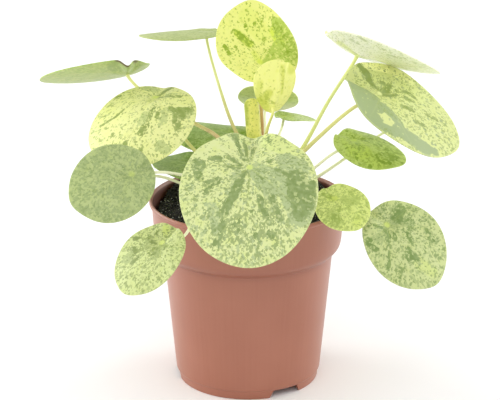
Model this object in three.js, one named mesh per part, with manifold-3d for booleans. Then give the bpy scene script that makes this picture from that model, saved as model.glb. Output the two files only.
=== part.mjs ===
// A potted Chinese money plant (Pilea peperomioides) with marbled leaves, in a grower's pot.
// Millimetres, +Z up. The origin is the centre of the pot's base, and the front is towards -Y.
import * as THREE from 'three';
import { mergeVertices } from 'three/addons/utils/BufferGeometryUtils.js';
import Module from 'manifold-3d';

const wasm = await Module();
wasm.setup();

// ---------------------------------------------------------------- driving dimensions

const GAP = 0.3; // clearance between pieces that touch

// Pot: a thin moulded shell with a lip, a deep collar, a tapering body and a foot ring.
const POT_HEIGHT = 114.3;
const POT_WALL = 1.2;
const POT_SIDES = 44;
const LIP_RADIUS = 60;
const LIP_DEPTH = 3;
const COLLAR_TOP_RADIUS = 58.3;
const COLLAR_FOOT_RADIUS = 57;
const COLLAR_FOOT = 91; // height at which the collar starts to round in
const SHOULDER = 82; // height at which the rounded underside meets the body
const SHOULDER_ROUND = [[3.4, 1.4], [1.2, 4]]; // points of it: inside the collar, above SHOULDER
const LIP_ROUND = 0.5; // the lip's edges are rounded this much
const LIP_TOP = 0.8; // width of its flat top, inside which it slants down to the wall
const BODY_TOP_RADIUS = 51.6;
const BODY_FOOT_RADIUS = 44.4;
const BODY_FOOT = 6;
const FOOT_RADIUS = 42.8;
const FOOT_RING = 1.6; // thickness of the ring that the pot stands on
const FOOT_DRAFT = 0.8; // its sides lean this much, as moulded sides do
const CHANNEL_HEIGHT = 5.2; // the floor rises this much in the drainage channel
const FLOOR_PAD_RADIUS = 22; // the flat middle of the floor, which rests on the surface
const CHANNEL_SLOPE = 2.5;

// Drainage: three wide notches through the foot ring, each with a hole in the channel above.
const NOTCH_COUNT = 3;
const FIRST_NOTCH = -58; // degrees from +X, so one notch shows at the front right
const NOTCH_WIDTH = 17;
const NOTCH_FLARE = 2.5; // the notch is this much wider at each side at the surface
const NOTCH_HEIGHT = 5;
const NOTCH_DEPTH = 10; // radially, from inside the foot ring out past it
const DRAIN_RADIUS = 3;
const DRAIN_EDGE = 2; // between the drain hole and the foot ring
const DRAIN_SIDES = 12;

// Soil: 10 mm below the lip at the stem, higher at the wall, and level with the lip at the back.
const SOIL_TOP = 104; // height at the stem
const SOIL_RISE = 1.6; // height of the broad mounds in its surface
const SOIL_BOWL = 2.5; // rise from the stem to the wall
const SOIL_HEAP = 6.5; // further rise at the back
const SOIL_HEAP_START = 12; // the heap rises between these two distances behind the stem
const SOIL_HEAP_END = 36;
const SOIL_RINGS = [54.6, 49, 40, 30, 20, 10];

// Stem: short and stout, slightly leaning, with the swollen rings of shed leaves.
const STEM_PATH = [[0, 2, 84], [1, 2, 104], [3, 2, 124], [5, 2, 141]];
const STEM_FOOT_RADIUS = 4.6;
const STEM_TOP_RADIUS = 3.2;
const STEM_RINGS = 7;
const STEM_RING_RISE = 0.25;
const CROWN_START = 0.93; // share of its length from which the top rounds off
const CROWN_LENGTH = 0.075;
const STEM_SIDES = 10;
const STEM_STEPS = 20;

// Leaf blades and stalks.
const BLADE_THICKNESS = 1; // at the stalk, thinning to the edge
const BLADE_EDGE = 0.7;
const BLADE_SECTORS = 24;
const BLADE_RINGS = 4;
const SMALL_BLADE = 20; // a leaf under this size has fewer facets, unless it is rolled up
const ROLLED = -1; // a curl under this rolls the blade into a tube
const SMALL_SECTORS = 18;
const SMALL_RINGS = 3;
const RING_CROWDING = 0.8; // under 1 the facets are longer near the stalk than at the edge
const STALK_FOOT_RADIUS = 1.5;
const STALK_TOP_RADIUS = 1;
const STALK_TAPER = 0.7; // share of its length over which it tapers
const STALK_LEAF_SIZE = 34; // a leaf of this size has a stalk of those radii
const STALK_SLIMMEST = 0.85; // and no stalk is slimmer or stouter than these shares of them
const STALK_STOUTEST = 1.1;
const NECK = 0.2; // the stalk meets the blade squarely over this share of the size,
const LONGEST_NECK = 5; // up to this many millimetres
const STALK_SIDES = 7;
const STALK_STEPS = 11;

// Every leaf. The stalk leaves the main stem at height `node`, runs through the points `via` and
// meets the blade at `at`. From there the tip points along `heading` (degrees from +X) and drops
// by `droop`, and `roll` turns the blade about that line. `size` is half the blade's length, and
// the other numbers are shares of it: `centre` is how far the blade's middle lies beyond the
// stalk, `width` the width over the length, `curl` the bend across (above 0 the sides fall,
// below 0 they rise), `arch` the bend along, `dish` the depth of the dimple over the stalk,
// `fold` the depth of the crease from the stalk to the near edge, `foldWidth` half its width,
// `foldTurn` its turn in degrees, and `wave` the height of the `waves` in the edge. `egg` is how
// much wider the blade is at the tip's end, `point` how far the blunt tip stands out of the round
// outline, and `neck` how straight the stalk meets the blade.
const LEAVES = [
  { name: 'front', at: [1, -74, 158], heading: -92.5, droop: 34, roll: 0, size: 42.5, centre: 0.4,
    width: 0.91, curl: 0.04, arch: 0.2, fold: 0.14, waves: 7, point: 0.01,
    node: 123, via: [[3, -20, 140], [1, -50, 151]] },
  { name: 'left_lower', at: [-67, -50, 146], heading: -162, droop: 19, roll: -43, size: 24.9,
    curl: 0.08, arch: 0.09, node: 117, via: [[-20, -10, 127], [-40, -24, 137], [-54, -41, 144]] },
  { name: 'left_mid', at: [-55.5, 16, 173], heading: -115, droop: 17, roll: 4, size: 32.8,
    centre: 0.66, width: 1.05, curl: 0.15, arch: 0.2, waves: 4,
    node: 112, via: [[-12, 3, 124], [-31, 3, 142], [-40, 7, 152]] },
  { name: 'front_left', at: [-49, -76, 113.5], heading: -138, droop: 38, roll: -2, size: 23.5,
    curl: 0.04, arch: 0.07, node: 111, via: [[-12, -18, 121], [-31, -49, 118.5], [-36, -64, 114]] },
  { name: 'right_low', at: [82, -34, 109], heading: -28, droop: 39, roll: 24, size: 28,
    centre: 0.56, curl: 0.04, arch: 0.1, fold: 0.12, node: 113, via: [[24, -9, 120], [58, -24, 119]] },
  { name: 'right_rim', at: [51, -32, 125], heading: -54, droop: 30, roll: 15, size: 16.8,
    curl: 0.04, arch: 0.04, dish: 0.12, node: 117, via: [[15, -13, 125], [40, -26, 126]] },
  { name: 'right_large', at: [78, -4, 181], heading: -7, droop: 33, roll: 14, size: 38.5,
    centre: 0.43, curl: 0.03, arch: 0.03, fold: 0.12, dish: 0.05,
    node: 121, via: [[20, -1, 130], [34, -2, 145], [64, -4, 173]] },
  { name: 'right_mid', at: [64, 8, 148], heading: -31, droop: 14, roll: 3, size: 22.4,
    curl: 0.2, arch: 0.06, node: 109, via: [[20, 3, 117], [39, 4, 131], [53, 7, 141]] },
  { name: 'right_top', at: [66, 24, 197], heading: 3, droop: 30, roll: -21, size: 36,
    centre: 0.36, width: 0.97, curl: -0.1, arch: -0.16, waves: 3,
    node: 116, via: [[19, 4, 123], [34, 8, 145], [49, 16, 171]] },
  { name: 'top_left', at: [-25, 34, 208.5], heading: -155, droop: -2, roll: 9, size: 25,
    centre: 0.66, curl: 0.14, arch: 0.02, node: 134, via: [[-8.7, 10, 156], [-16.8, 22, 176]] },
  { name: 'far_left', at: [-74, 40, 181.2], heading: 168, droop: 20, roll: 22, size: 33.5,
    centre: 0.6, curl: -0.1, arch: -0.08, fold: 0.12, foldTurn: -66, foldWidth: 0.1, waves: 3,
    neck: 0.4, node: 129, via: [[-19.5, 12, 150], [-32, 20, 155], [-65, 36, 171]] },
  { name: 'back', at: [12, 58, 160], heading: 85, droop: 44, roll: 1, size: 19.5,
    centre: 0.35, curl: -0.1, arch: -0.1, node: 131, via: [[9.8, 20, 147], [10.4, 46, 154]] },
  { name: 'back_right', at: [22.3, 52, 149.9], heading: 10, droop: 6, roll: -4, size: 12.2,
    centre: 0.56, curl: 0.03, egg: -0.37, point: 0.09, node: 126, via: [[11, 10, 135], [19, 28, 145]] },
  { name: 'top', at: [7, 0, 199.3], heading: 106, droop: -40, roll: 6, size: 27.3, centre: 0.34,
    width: 0.93, curl: 0.06, arch: -0.14, fold: 0.16, foldTurn: 40, waves: 6,
    node: 138, via: [[8.2, 6.4, 150], [7.8, 6.6, 171]] },
  { name: 'young_cupped', at: [14.1, -20, 177], heading: -68, droop: -70, roll: -10, size: 16.6,
    centre: 0.8, width: 0.74, curl: -0.3, arch: -0.06, dish: 0.04, fold: 0.12, foldTurn: 188,
    foldWidth: 0.09, egg: 0.24, thickness: 0.8, node: 137, via: [[9.3, -5, 150], [11.8, -13, 163]] },
  { name: 'young_rolled', at: [4.2, -2.2, 149.8], heading: 180, droop: -85.5, roll: 95, size: 13.6,
    centre: 0.88, width: 0.57, curl: -1.8, arch: 0, dish: 0, fold: 0, wave: 0.01, egg: 0.05,
    point: 0.08, thickness: 0.8, node: 139.5, via: [[1.4, -1.2, 143.8], [3, -4.8, 146.6]] },
  { name: 'back_left', at: [-7, 48, 138], heading: 170, droop: -6, roll: -4, size: 27,
    curl: 0.22, node: 120, via: [[0, 14, 126], [-5, 34, 131]] },
  { name: 'left_small', at: [-34, 16, 131], heading: -140, droop: 6, roll: -11, size: 18,
    centre: 0.45, curl: 0.16, arch: -0.1, node: 115, via: [[-6, 8, 121], [-20, 12, 126]] },
  { name: 'left_hidden', at: [-76, -16, 135], heading: 186, droop: 30, roll: -10, size: 14,
    node: 107, via: [[-20, 0, 113], [-40, -5, 125], [-54, -9, 131]] },
  { name: 'right_hidden', at: [97, 34, 154], heading: 14, droop: 30, roll: 4, size: 15,
    node: 105, via: [[20, 7, 112], [42, 10, 124], [81, 26, 146]] },
];
const USUAL_LEAF = {
  centre: 0.5, width: 0.97, curl: 0.1, arch: 0.06, dish: 0.09, fold: 0.1, foldTurn: 0, foldWidth: 0.17,
  wave: 0.018, waves: 5, egg: 0, point: 0.035, neck: 1, thickness: BLADE_THICKNESS,
};
const DISH_SPREAD = 0.22; // radius of the dimple, as a share of the size
const CREASE_LENGTH = 0.45; // the crease deepens over this share of the size
const TIP_SPREAD = 0.22; // the angle over which the tip stands out, in radians

// ---------------------------------------------------------------- solids and booleans

// A closed geometry as a solid that can be joined and cut.
function toSolid(geometry) {
  const bare = geometry.clone();
  bare.deleteAttribute('normal');
  bare.deleteAttribute('uv');
  const merged = mergeVertices(bare, 1e-4);
  return new wasm.Manifold(new wasm.Mesh({
    numProp: 3,
    vertProperties: new Float32Array(merged.attributes.position.array),
    triVerts: new Uint32Array(merged.index.array),
  }));
}

// A solid back as a geometry.
function toGeometry(solid) {
  const mesh = solid.getMesh();
  return closedGeometry(Array.from(mesh.vertProperties), Array.from(mesh.triVerts));
}

function closedGeometry(positions, triangles) {
  const geometry = new THREE.BufferGeometry();
  geometry.setAttribute('position', new THREE.Float32BufferAttribute(positions, 3));
  geometry.setIndex(triangles);
  geometry.computeVertexNormals();
  return geometry;
}

// A profile of [radius, height] pairs turned about the Z axis.
function turned(profile) {
  const points = profile.map(([radius, height]) => new THREE.Vector2(radius, height));
  return new THREE.LatheGeometry(points, POT_SIDES).rotateX(Math.PI / 2);
}

// A round rod along a curve, its radius given by a function of the share of its length. Its two
// ends stand out past the curve by `overrun`.
function rod(curve, radiusAt, sides, steps, overrun = 0) {
  const { tangents, normals, binormals } = curve.computeFrenetFrames(steps, false);
  const centre = (step) => {
    const past = step === 0 ? -overrun : Number(step === steps) * overrun;
    return curve.getPointAt(step / steps).addScaledVector(tangents[step], past);
  };
  const positions = [];
  const triangles = [];
  for (let step = 0; step <= steps; step += 1) {
    const share = step / steps;
    const middle = centre(step);
    for (let side = 0; side < sides; side += 1) {
      const angle = (side / sides) * 2 * Math.PI;
      const point = middle.clone()
        .addScaledVector(normals[step], radiusAt(share) * Math.cos(angle))
        .addScaledVector(binormals[step], radiusAt(share) * Math.sin(angle));
      positions.push(...point.toArray());
    }
  }
  for (let step = 0; step < steps; step += 1) {
    for (let side = 0; side < sides; side += 1) {
      const here = step * sides + side;
      const beside = step * sides + ((side + 1) % sides);
      triangles.push(here, beside, here + sides, beside, beside + sides, here + sides);
    }
  }
  const foot = positions.length / 3;
  const top = foot + 1;
  const lastRing = steps * sides;
  positions.push(...centre(0).toArray(), ...centre(steps).toArray());
  for (let side = 0; side < sides; side += 1) {
    const next = (side + 1) % sides;
    triangles.push(foot, next, side, top, lastRing + side, lastRing + next);
  }
  return closedGeometry(positions, triangles);
}

function smoothCurve(points) {
  const vectors = points.map((point) => new THREE.Vector3(...point));
  return new THREE.CatmullRomCurve3(vectors, false, 'centripetal');
}

// ---------------------------------------------------------------- pot and soil

// The outside of the pot from the middle of the floor up to the lip, as [radius, height].
function outerProfile() {
  return [
    [0, 0],
    [FLOOR_PAD_RADIUS, 0],
    [FLOOR_PAD_RADIUS + CHANNEL_SLOPE, CHANNEL_HEIGHT],
    [FOOT_RADIUS - FOOT_RING - FOOT_DRAFT, CHANNEL_HEIGHT],
    [FOOT_RADIUS - FOOT_RING, 0],
    [FOOT_RADIUS, 0],
    [(FOOT_RADIUS + BODY_FOOT_RADIUS) / 2, BODY_FOOT - FOOT_DRAFT],
    [BODY_FOOT_RADIUS, BODY_FOOT],
    [BODY_TOP_RADIUS, SHOULDER],
    ...SHOULDER_ROUND.map(([inside, above]) => [COLLAR_FOOT_RADIUS - inside, SHOULDER + above]),
    [COLLAR_FOOT_RADIUS, COLLAR_FOOT],
    [COLLAR_TOP_RADIUS, POT_HEIGHT - LIP_DEPTH],
    [LIP_RADIUS - LIP_ROUND, POT_HEIGHT - LIP_DEPTH + LIP_ROUND],
    [LIP_RADIUS, POT_HEIGHT - LIP_DEPTH / 2],
    [LIP_RADIUS - LIP_ROUND, POT_HEIGHT],
  ];
}

// The inside, `inset` within the outside, from the lip down to the middle of the floor.
function innerProfile(inset) {
  return [
    [COLLAR_TOP_RADIUS - inset, POT_HEIGHT - LIP_DEPTH],
    [COLLAR_FOOT_RADIUS - inset, COLLAR_FOOT],
    [COLLAR_FOOT_RADIUS - 1.2 - inset, SHOULDER + 4.5],
    [BODY_TOP_RADIUS - inset, SHOULDER + 0.6],
    [BODY_FOOT_RADIUS - inset, CHANNEL_HEIGHT + inset + 0.4],
    [BODY_FOOT_RADIUS - inset - 0.6, CHANNEL_HEIGHT + inset],
    [FLOOR_PAD_RADIUS + CHANNEL_SLOPE - 0.7 * inset, CHANNEL_HEIGHT + inset],
    [FLOOR_PAD_RADIUS - 0.7 * inset, inset],
    [0, inset],
  ];
}

// A block that cuts one drainage notch in from outside, and the hole over it.
function drain() {
  const half = NOTCH_WIDTH / 2;
  const outline = new THREE.Shape([
    new THREE.Vector2(-half - NOTCH_FLARE, -1),
    new THREE.Vector2(half + NOTCH_FLARE, -1),
    new THREE.Vector2(half, NOTCH_HEIGHT),
    new THREE.Vector2(-half, NOTCH_HEIGHT),
  ]);
  const ringInside = FOOT_RADIUS - FOOT_RING;
  const extrusion = { depth: NOTCH_DEPTH, bevelEnabled: false };
  const block = new THREE.ExtrudeGeometry(outline, extrusion)
    .rotateX(Math.PI / 2)
    .rotateZ(Math.PI / 2)
    .translate(ringInside - 2 * FOOT_DRAFT, 0, 0);
  const length = 3 * CHANNEL_HEIGHT;
  const hole = new THREE.CylinderGeometry(DRAIN_RADIUS, DRAIN_RADIUS, length, DRAIN_SIDES)
    .rotateX(Math.PI / 2)
    .translate(ringInside - DRAIN_RADIUS - DRAIN_EDGE, 0, CHANNEL_HEIGHT);
  return toSolid(block).add(toSolid(hole));
}

function potGeometry() {
  const inner = innerProfile(POT_WALL);
  const profile = [
    ...outerProfile(),
    [LIP_RADIUS - LIP_ROUND - LIP_TOP, POT_HEIGHT],
    ...inner,
  ];
  let pot = toSolid(turned(profile));
  for (let notch = 0; notch < NOTCH_COUNT; notch += 1) {
    const angle = FIRST_NOTCH + (notch * 360) / NOTCH_COUNT;
    pot = pot.subtract(drain().rotate([0, 0, angle]));
  }
  return toGeometry(pot);
}

// How much higher than at the stem the soil is at a point of its surface.
function soilMound(x, y) {
  const mounds = Math.sin(x / 11 + 1) * Math.cos(y / 13) + 0.6 * Math.sin((x - y) / 7);
  const bowl = SOIL_BOWL * ((x ** 2 + y ** 2) / SOIL_RINGS[0] ** 2);
  const heap = SOIL_HEAP * THREE.MathUtils.smoothstep(y, SOIL_HEAP_START, SOIL_HEAP_END);
  return 0.5 * SOIL_RISE * mounds + bowl + heap;
}

function soilGeometry() {
  const clearance = POT_WALL + GAP;
  const walls = innerProfile(clearance).filter(([, height]) => height < SOIL_TOP);
  const share = (SOIL_TOP - COLLAR_FOOT) / (POT_HEIGHT - LIP_DEPTH - COLLAR_FOOT);
  const edge = THREE.MathUtils.lerp(COLLAR_FOOT_RADIUS, COLLAR_TOP_RADIUS, share) - clearance;
  const top = SOIL_RINGS.map((radius) => [radius, SOIL_TOP]);
  const geometry = turned([...walls.reverse(), [edge, SOIL_TOP - 1], ...top, [0, SOIL_TOP]]);
  const position = geometry.attributes.position;
  for (let index = 0; index < position.count; index += 1) {
    if (position.getZ(index) > SOIL_TOP - 0.5) {
      const mound = soilMound(position.getX(index), position.getY(index));
      position.setZ(index, SOIL_TOP + mound);
    }
  }
  return toGeometry(toSolid(geometry).subtract(toSolid(stemGeometry(GAP))));
}

// ---------------------------------------------------------------- stem

const stemCurve = smoothCurve(STEM_PATH);

function stemRadius(share) {
  const taper = THREE.MathUtils.lerp(STEM_FOOT_RADIUS, STEM_TOP_RADIUS, share);
  const ring = STEM_RING_RISE * Math.cos(share * STEM_RINGS * 2 * Math.PI);
  const past = Math.max((share - CROWN_START) / CROWN_LENGTH, 0);
  const crown = Math.sqrt(Math.max(1 - past ** 2, 0.02));
  return (taper + ring) * crown;
}

function stemGeometry(extra) {
  return rod(stemCurve, (share) => stemRadius(share) + extra, STEM_SIDES, STEM_STEPS, extra);
}

// The point on the stem's axis at a height.
function stemPoint(height) {
  const heights = STEM_PATH.map((point) => point[2]);
  const above = heights.findIndex((value) => value >= height);
  const share = (height - heights[above - 1]) / (heights[above] - heights[above - 1]);
  return new THREE.Vector3(...STEM_PATH[above - 1]).lerp(new THREE.Vector3(...STEM_PATH[above]), share);
}

// ---------------------------------------------------------------- leaves

// The blade's own axes: towards its tip, across it, and out of its upper side.
function bladeAxes(leaf) {
  const heading = THREE.MathUtils.degToRad(leaf.heading);
  const droop = THREE.MathUtils.degToRad(leaf.droop);
  const roll = THREE.MathUtils.degToRad(leaf.roll);
  const tip = new THREE.Vector3(
    Math.cos(heading) * Math.cos(droop), Math.sin(heading) * Math.cos(droop), -Math.sin(droop),
  );
  const level = new THREE.Vector3(
    Math.cos(heading) * Math.sin(droop), Math.sin(heading) * Math.sin(droop), Math.cos(droop),
  );
  const up = level.applyAxisAngle(tip, roll);
  return { tip, up, across: new THREE.Vector3().crossVectors(tip, up) };
}

// The distance from the stalk to the edge at an angle from the tip, for a leaf of size 1.
function edgeReach(leaf, angle) {
  const across = Math.sin(angle) / leaf.width;
  const along = Math.cos(angle);
  const length = across ** 2 + along ** 2;
  const root = Math.sqrt((leaf.centre * along) ** 2 + (1 - leaf.centre ** 2) * length);
  const fromTip = Math.abs(THREE.MathUtils.euclideanModulo(angle + Math.PI, 2 * Math.PI) - Math.PI);
  const point = 1 + leaf.point * Math.exp(-((fromTip / TIP_SPREAD) ** 2));
  return ((leaf.centre * along + root) / length) * point;
}

// A point of the upper side, in the blade's own axes, for a leaf of size 1.
function bladeForm(leaf, angle, share) {
  const reach = share * edgeReach(leaf, angle);
  const along = reach * Math.cos(angle);
  const across = reach * Math.sin(angle) * (1 + leaf.egg * (along - leaf.centre));
  const turn = THREE.MathUtils.degToRad(leaf.foldTurn);
  const foldAcross = across * Math.cos(turn) + along * Math.sin(turn);
  const foldAlong = across * Math.sin(turn) - along * Math.cos(turn);
  const dish = leaf.dish * (1 - Math.exp(-((reach / DISH_SPREAD) ** 2)));
  const crease = leaf.fold * Math.exp(-((foldAcross / leaf.foldWidth) ** 2))
    * THREE.MathUtils.smoothstep(foldAlong, 0, CREASE_LENGTH);
  const wave = leaf.wave * share ** 2 * Math.sin(leaf.waves * angle + leaf.at[0]);
  const bend = 2 * leaf.curl;
  const bent = Math.abs(bend) > 1e-6;
  const sideways = bent ? Math.sin(bend * across) / bend : across;
  const fall = bent ? (1 - Math.cos(bend * across)) / bend : 0;
  return new THREE.Vector3(sideways, along, dish - crease + wave - fall - leaf.arch * along ** 2);
}

// The same point in the plant, moved by `lift` millimetres out of the upper side.
function bladePoint(leaf, axes, angle, share, lift) {
  const step = 0.02;
  const place = bladeForm(leaf, angle, share);
  const outwards = bladeForm(leaf, angle, share + step).sub(bladeForm(leaf, angle, share - step));
  const around = bladeForm(leaf, angle + step, share).sub(bladeForm(leaf, angle - step, share));
  const normal = share === 0 ? new THREE.Vector3(0, 0, 1) : around.cross(outwards).normalize();
  place.multiplyScalar(leaf.size).addScaledVector(normal, lift);
  return new THREE.Vector3(...leaf.at)
    .addScaledVector(axes.across, place.x)
    .addScaledVector(axes.tip, place.y)
    .addScaledVector(axes.up, place.z);
}

// The blade as a closed sheet, with the same triangles above and below, grown by `extra`.
function bladeGeometry(leaf, extra) {
  const axes = bladeAxes(leaf);
  const small = leaf.size < SMALL_BLADE && leaf.curl > ROLLED;
  const sectors = small ? SMALL_SECTORS : BLADE_SECTORS;
  const rings = small ? SMALL_RINGS : BLADE_RINGS;
  const positions = [];
  const triangles = [];
  const side = 1 + rings * sectors;
  const vertex = (below, ring, sector) => below * side
    + (ring === 0 ? 0 : 1 + (ring - 1) * sectors + (sector % sectors));
  for (const below of [0, 1]) {
    for (let ring = 0; ring <= rings; ring += 1) {
      const share = (ring / rings) ** RING_CROWDING;
      const thickness = THREE.MathUtils.lerp(leaf.thickness, BLADE_EDGE, share ** 2);
      const lift = below ? -thickness - extra : extra;
      for (let sector = 0; sector < (ring === 0 ? 1 : sectors); sector += 1) {
        const angle = (sector / sectors) * 2 * Math.PI;
        positions.push(...bladePoint(leaf, axes, angle, share, lift).toArray());
      }
    }
  }
  const face = (below, a, b, c) => triangles.push(...(below ? [a, c, b] : [a, b, c]));
  for (const below of [0, 1]) {
    for (let sector = 0; sector < sectors; sector += 1) {
      face(below, vertex(below, 0, 0), vertex(below, 1, sector + 1), vertex(below, 1, sector));
      for (let ring = 1; ring < rings; ring += 1) {
        const inner = vertex(below, ring, sector);
        const innerNext = vertex(below, ring, sector + 1);
        const outer = vertex(below, ring + 1, sector);
        const outerNext = vertex(below, ring + 1, sector + 1);
        face(below, inner, innerNext, outer);
        face(below, innerNext, outerNext, outer);
      }
    }
  }
  for (let sector = 0; sector < sectors; sector += 1) {
    const top = vertex(0, rings, sector);
    const topNext = vertex(0, rings, sector + 1);
    const bottom = vertex(1, rings, sector);
    const bottomNext = vertex(1, rings, sector + 1);
    triangles.push(top, topNext, bottom, topNext, bottomNext, bottom);
  }
  return closedGeometry(positions, triangles);
}

// The stalk, from inside the stem to inside the blade, before both are cut out of it.
function stalkCurve(leaf) {
  const foot = stemPoint(leaf.node);
  const { up } = bladeAxes(leaf);
  const end = new THREE.Vector3(...leaf.at);
  const squarely = leaf.neck * Math.min(LONGEST_NECK, NECK * leaf.size);
  const neck = end.clone().addScaledVector(up, -squarely);
  const head = end.clone().addScaledVector(up, -0.4 * leaf.thickness);
  const middle = leaf.via.map((point) => new THREE.Vector3(...point));
  return new THREE.CatmullRomCurve3([foot, ...middle, neck, head], false, 'centripetal');
}

function stalkGeometry(leaf) {
  const share = leaf.size / STALK_LEAF_SIZE;
  const stoutness = THREE.MathUtils.clamp(share, STALK_SLIMMEST, STALK_STOUTEST);
  const radiusAt = (along) => {
    const tapered = Math.min(1, along / STALK_TAPER);
    return stoutness * THREE.MathUtils.lerp(STALK_FOOT_RADIUS, STALK_TOP_RADIUS, tapered);
  };
  return rod(stalkCurve(leaf), radiusAt, STALK_SIDES, STALK_STEPS);
}

// ---------------------------------------------------------------- the plant

function piece(name, geometry, colour, roughness) {
  const material = new THREE.MeshStandardMaterial({ color: colour, roughness, metalness: 0 });
  const mesh = new THREE.Mesh(geometry, material);
  mesh.name = name;
  return mesh;
}

const plant = new THREE.Group();
plant.add(piece('pot', potGeometry(), 0xb06a54, 0.5));
plant.add(piece('potting_soil', soilGeometry(), 0x241f1c, 0.95));
plant.add(piece('main_stem', stemGeometry(0), 0x8a8f55, 0.6));

const stemCutter = toSolid(stemGeometry(GAP));
for (const shape of LEAVES) {
  const leaf = { ...USUAL_LEAF, ...shape };
  const bladeCutter = toSolid(bladeGeometry(leaf, GAP));
  const stalk = toSolid(stalkGeometry(leaf)).subtract(stemCutter).subtract(bladeCutter);
  plant.add(piece(`blade_${leaf.name}`, bladeGeometry(leaf, 0), 0xbccf7c, 0.45));
  plant.add(piece(`stalk_${leaf.name}`, toGeometry(stalk), 0xb9bd6a, 0.5));
}

export default plant;
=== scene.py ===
# %% [markdown]
# # A potted Chinese money plant
#
# This lesson dresses a small house plant. It is *Pilea peperomioides* in its marbled form: round,
# fleshy leaves, each carried by a long stalk that meets the blade near its middle, on one short
# stem in a plastic grower's pot. The solid model gives every piece its place and its main form.
# Here each of them is made again with a fine surface, and gets the colours and the finish that
# the real one has.
#
# The frame is loaded first. All lengths in Blender are metres, and the driving sizes below are
# written in millimetres, because that is how a leaf or a pot is measured.

# %% Load the frame
import math

import bmesh
import bpy
from mathutils import Matrix, Vector


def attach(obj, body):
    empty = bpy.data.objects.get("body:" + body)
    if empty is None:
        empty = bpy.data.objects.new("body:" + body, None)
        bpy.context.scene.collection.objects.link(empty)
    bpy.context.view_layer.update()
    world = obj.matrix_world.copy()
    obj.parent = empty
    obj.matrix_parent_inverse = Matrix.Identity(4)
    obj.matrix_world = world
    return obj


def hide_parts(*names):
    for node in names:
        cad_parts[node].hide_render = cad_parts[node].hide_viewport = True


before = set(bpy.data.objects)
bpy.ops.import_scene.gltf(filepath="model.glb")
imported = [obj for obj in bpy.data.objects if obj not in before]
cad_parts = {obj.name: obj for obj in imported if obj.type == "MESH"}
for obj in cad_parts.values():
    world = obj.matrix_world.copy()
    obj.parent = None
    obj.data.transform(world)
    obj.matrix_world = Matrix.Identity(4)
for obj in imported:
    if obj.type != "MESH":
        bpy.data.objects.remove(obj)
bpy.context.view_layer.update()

MM = 0.001
BODY = "root"

# %% [markdown]
# ## The camera
#
# The plant is seen from 1.2 metres away and from slightly above, so that the pot's mouth is a
# narrow ellipse. A long lens keeps the near and the far leaves at about the same scale.

# %% Camera
PICTURE_WIDTH = 500
FOCAL_PIXELS = 2010
SENSOR_WIDTH = 36
CAMERA_PLACE = Vector((0, -1150, 512)) * MM
CAMERA_AIM = Vector((1.2, 0, 112.8)) * MM


def add_object(name, data):
    """Puts a new object that holds this data in the scene."""
    holder = bpy.data.objects.new(name, data)
    bpy.context.scene.collection.objects.link(holder)
    return holder


def stand_and_aim(holder, stand, aim):
    holder.location = stand
    holder.rotation_euler = (aim - stand).to_track_quat("-Z", "Y").to_euler()


def add_camera():
    camera = bpy.data.cameras.new("camera")
    camera.sensor_width = SENSOR_WIDTH
    camera.lens = SENSOR_WIDTH * FOCAL_PIXELS / PICTURE_WIDTH
    camera.clip_start = 0.01
    holder = add_object("camera", camera)
    stand_and_aim(holder, CAMERA_PLACE, CAMERA_AIM)
    bpy.context.scene.camera = holder
    return camera


print("lens", round(add_camera().lens, 1), "mm")

# %% [markdown]
# ## Light and floor
#
# The plant stands in a bright white studio. A white world lights it from all sides, a large soft
# lamp hangs in front of it, and one on each side, a little behind it, gives the smooth pot its
# pale edges. The floor is a plain pale sheet.

# %% Light and floor
WORLD_STRENGTH = 0.82
LAMPS = {  # places and sizes in metres, power in watts
    "front lamp": dict(stand=(-0.3, -1.5, 1.4), power=10, size=1.6),
    "left lamp": dict(stand=(-1.5, 0.5, 0.5), power=19, size=1.2),
    "right lamp": dict(stand=(1.5, 0.6, 0.5), power=15, size=1.2),
}
LAMP_AIM = Vector((0, 0, 0.12))
FLOOR_HALF = 4.0
FLOOR_COLOUR = (0.96, 0.96, 0.965, 1)


def add_world():
    world = bpy.data.worlds.new("white studio")
    world.use_nodes = True
    background = world.node_tree.nodes["Background"]
    background.inputs["Color"].default_value = (1, 1, 1, 1)
    background.inputs["Strength"].default_value = WORLD_STRENGTH
    bpy.context.scene.world = world


def add_lamp(name, stand, power, size):
    lamp = bpy.data.lights.new(name, "AREA")
    lamp.shape = "DISK"
    lamp.size = size
    lamp.energy = power
    stand_and_aim(add_object(name, lamp), Vector(stand), LAMP_AIM)


def new_material(name, **constants):
    """A material, its tree and its shader. Constants are named as on the shader's sockets."""
    material = bpy.data.materials.new(name)
    material.use_nodes = True
    shader = material.node_tree.nodes["Principled BSDF"]
    for label, value in constants.items():
        shader.inputs[label.replace("_", " ")].default_value = value
    return material, material.node_tree, shader


def add_floor():
    corners = [(x * FLOOR_HALF, y * FLOOR_HALF, 0) for x, y in ((-1, -1), (1, -1), (1, 1), (-1, 1))]
    mesh = bpy.data.meshes.new("floor")
    mesh.from_pydata(corners, [], [(0, 1, 2, 3)])
    paint, _, _ = new_material("pale floor", Base_Color=FLOOR_COLOUR, Roughness=0.9)
    mesh.materials.append(paint)
    floor = add_object("floor", mesh)


add_world()
for lamp_name, lamp in LAMPS.items():
    add_lamp(lamp_name, **lamp)
add_floor()
bpy.context.scene.view_settings.view_transform = "Standard"
print("world,", len(LAMPS), "lamps and a floor")

# %% [markdown]
# ## Arithmetic that becomes nodes
#
# A leaf's form and its veins are formulas. In Blender such a formula is a chain of small Math
# nodes, which is slow to read. `Flow` stands for a value in a node tree, and Python's own signs
# add the nodes. The same function can then shape the mesh in Geometry Nodes and colour it in a
# material.

# %% Flow: values in a node tree
SIGNS = {"add": "ADD", "sub": "SUBTRACT", "mul": "MULTIPLY", "truediv": "DIVIDE"}


class Flow:
    """A value that flows out of a node. Signs between two of them add the node that works it out."""

    def __init__(self, socket):
        self.socket = socket

    def __neg__(self):
        return calculate("MULTIPLY", self, -1.0)


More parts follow.
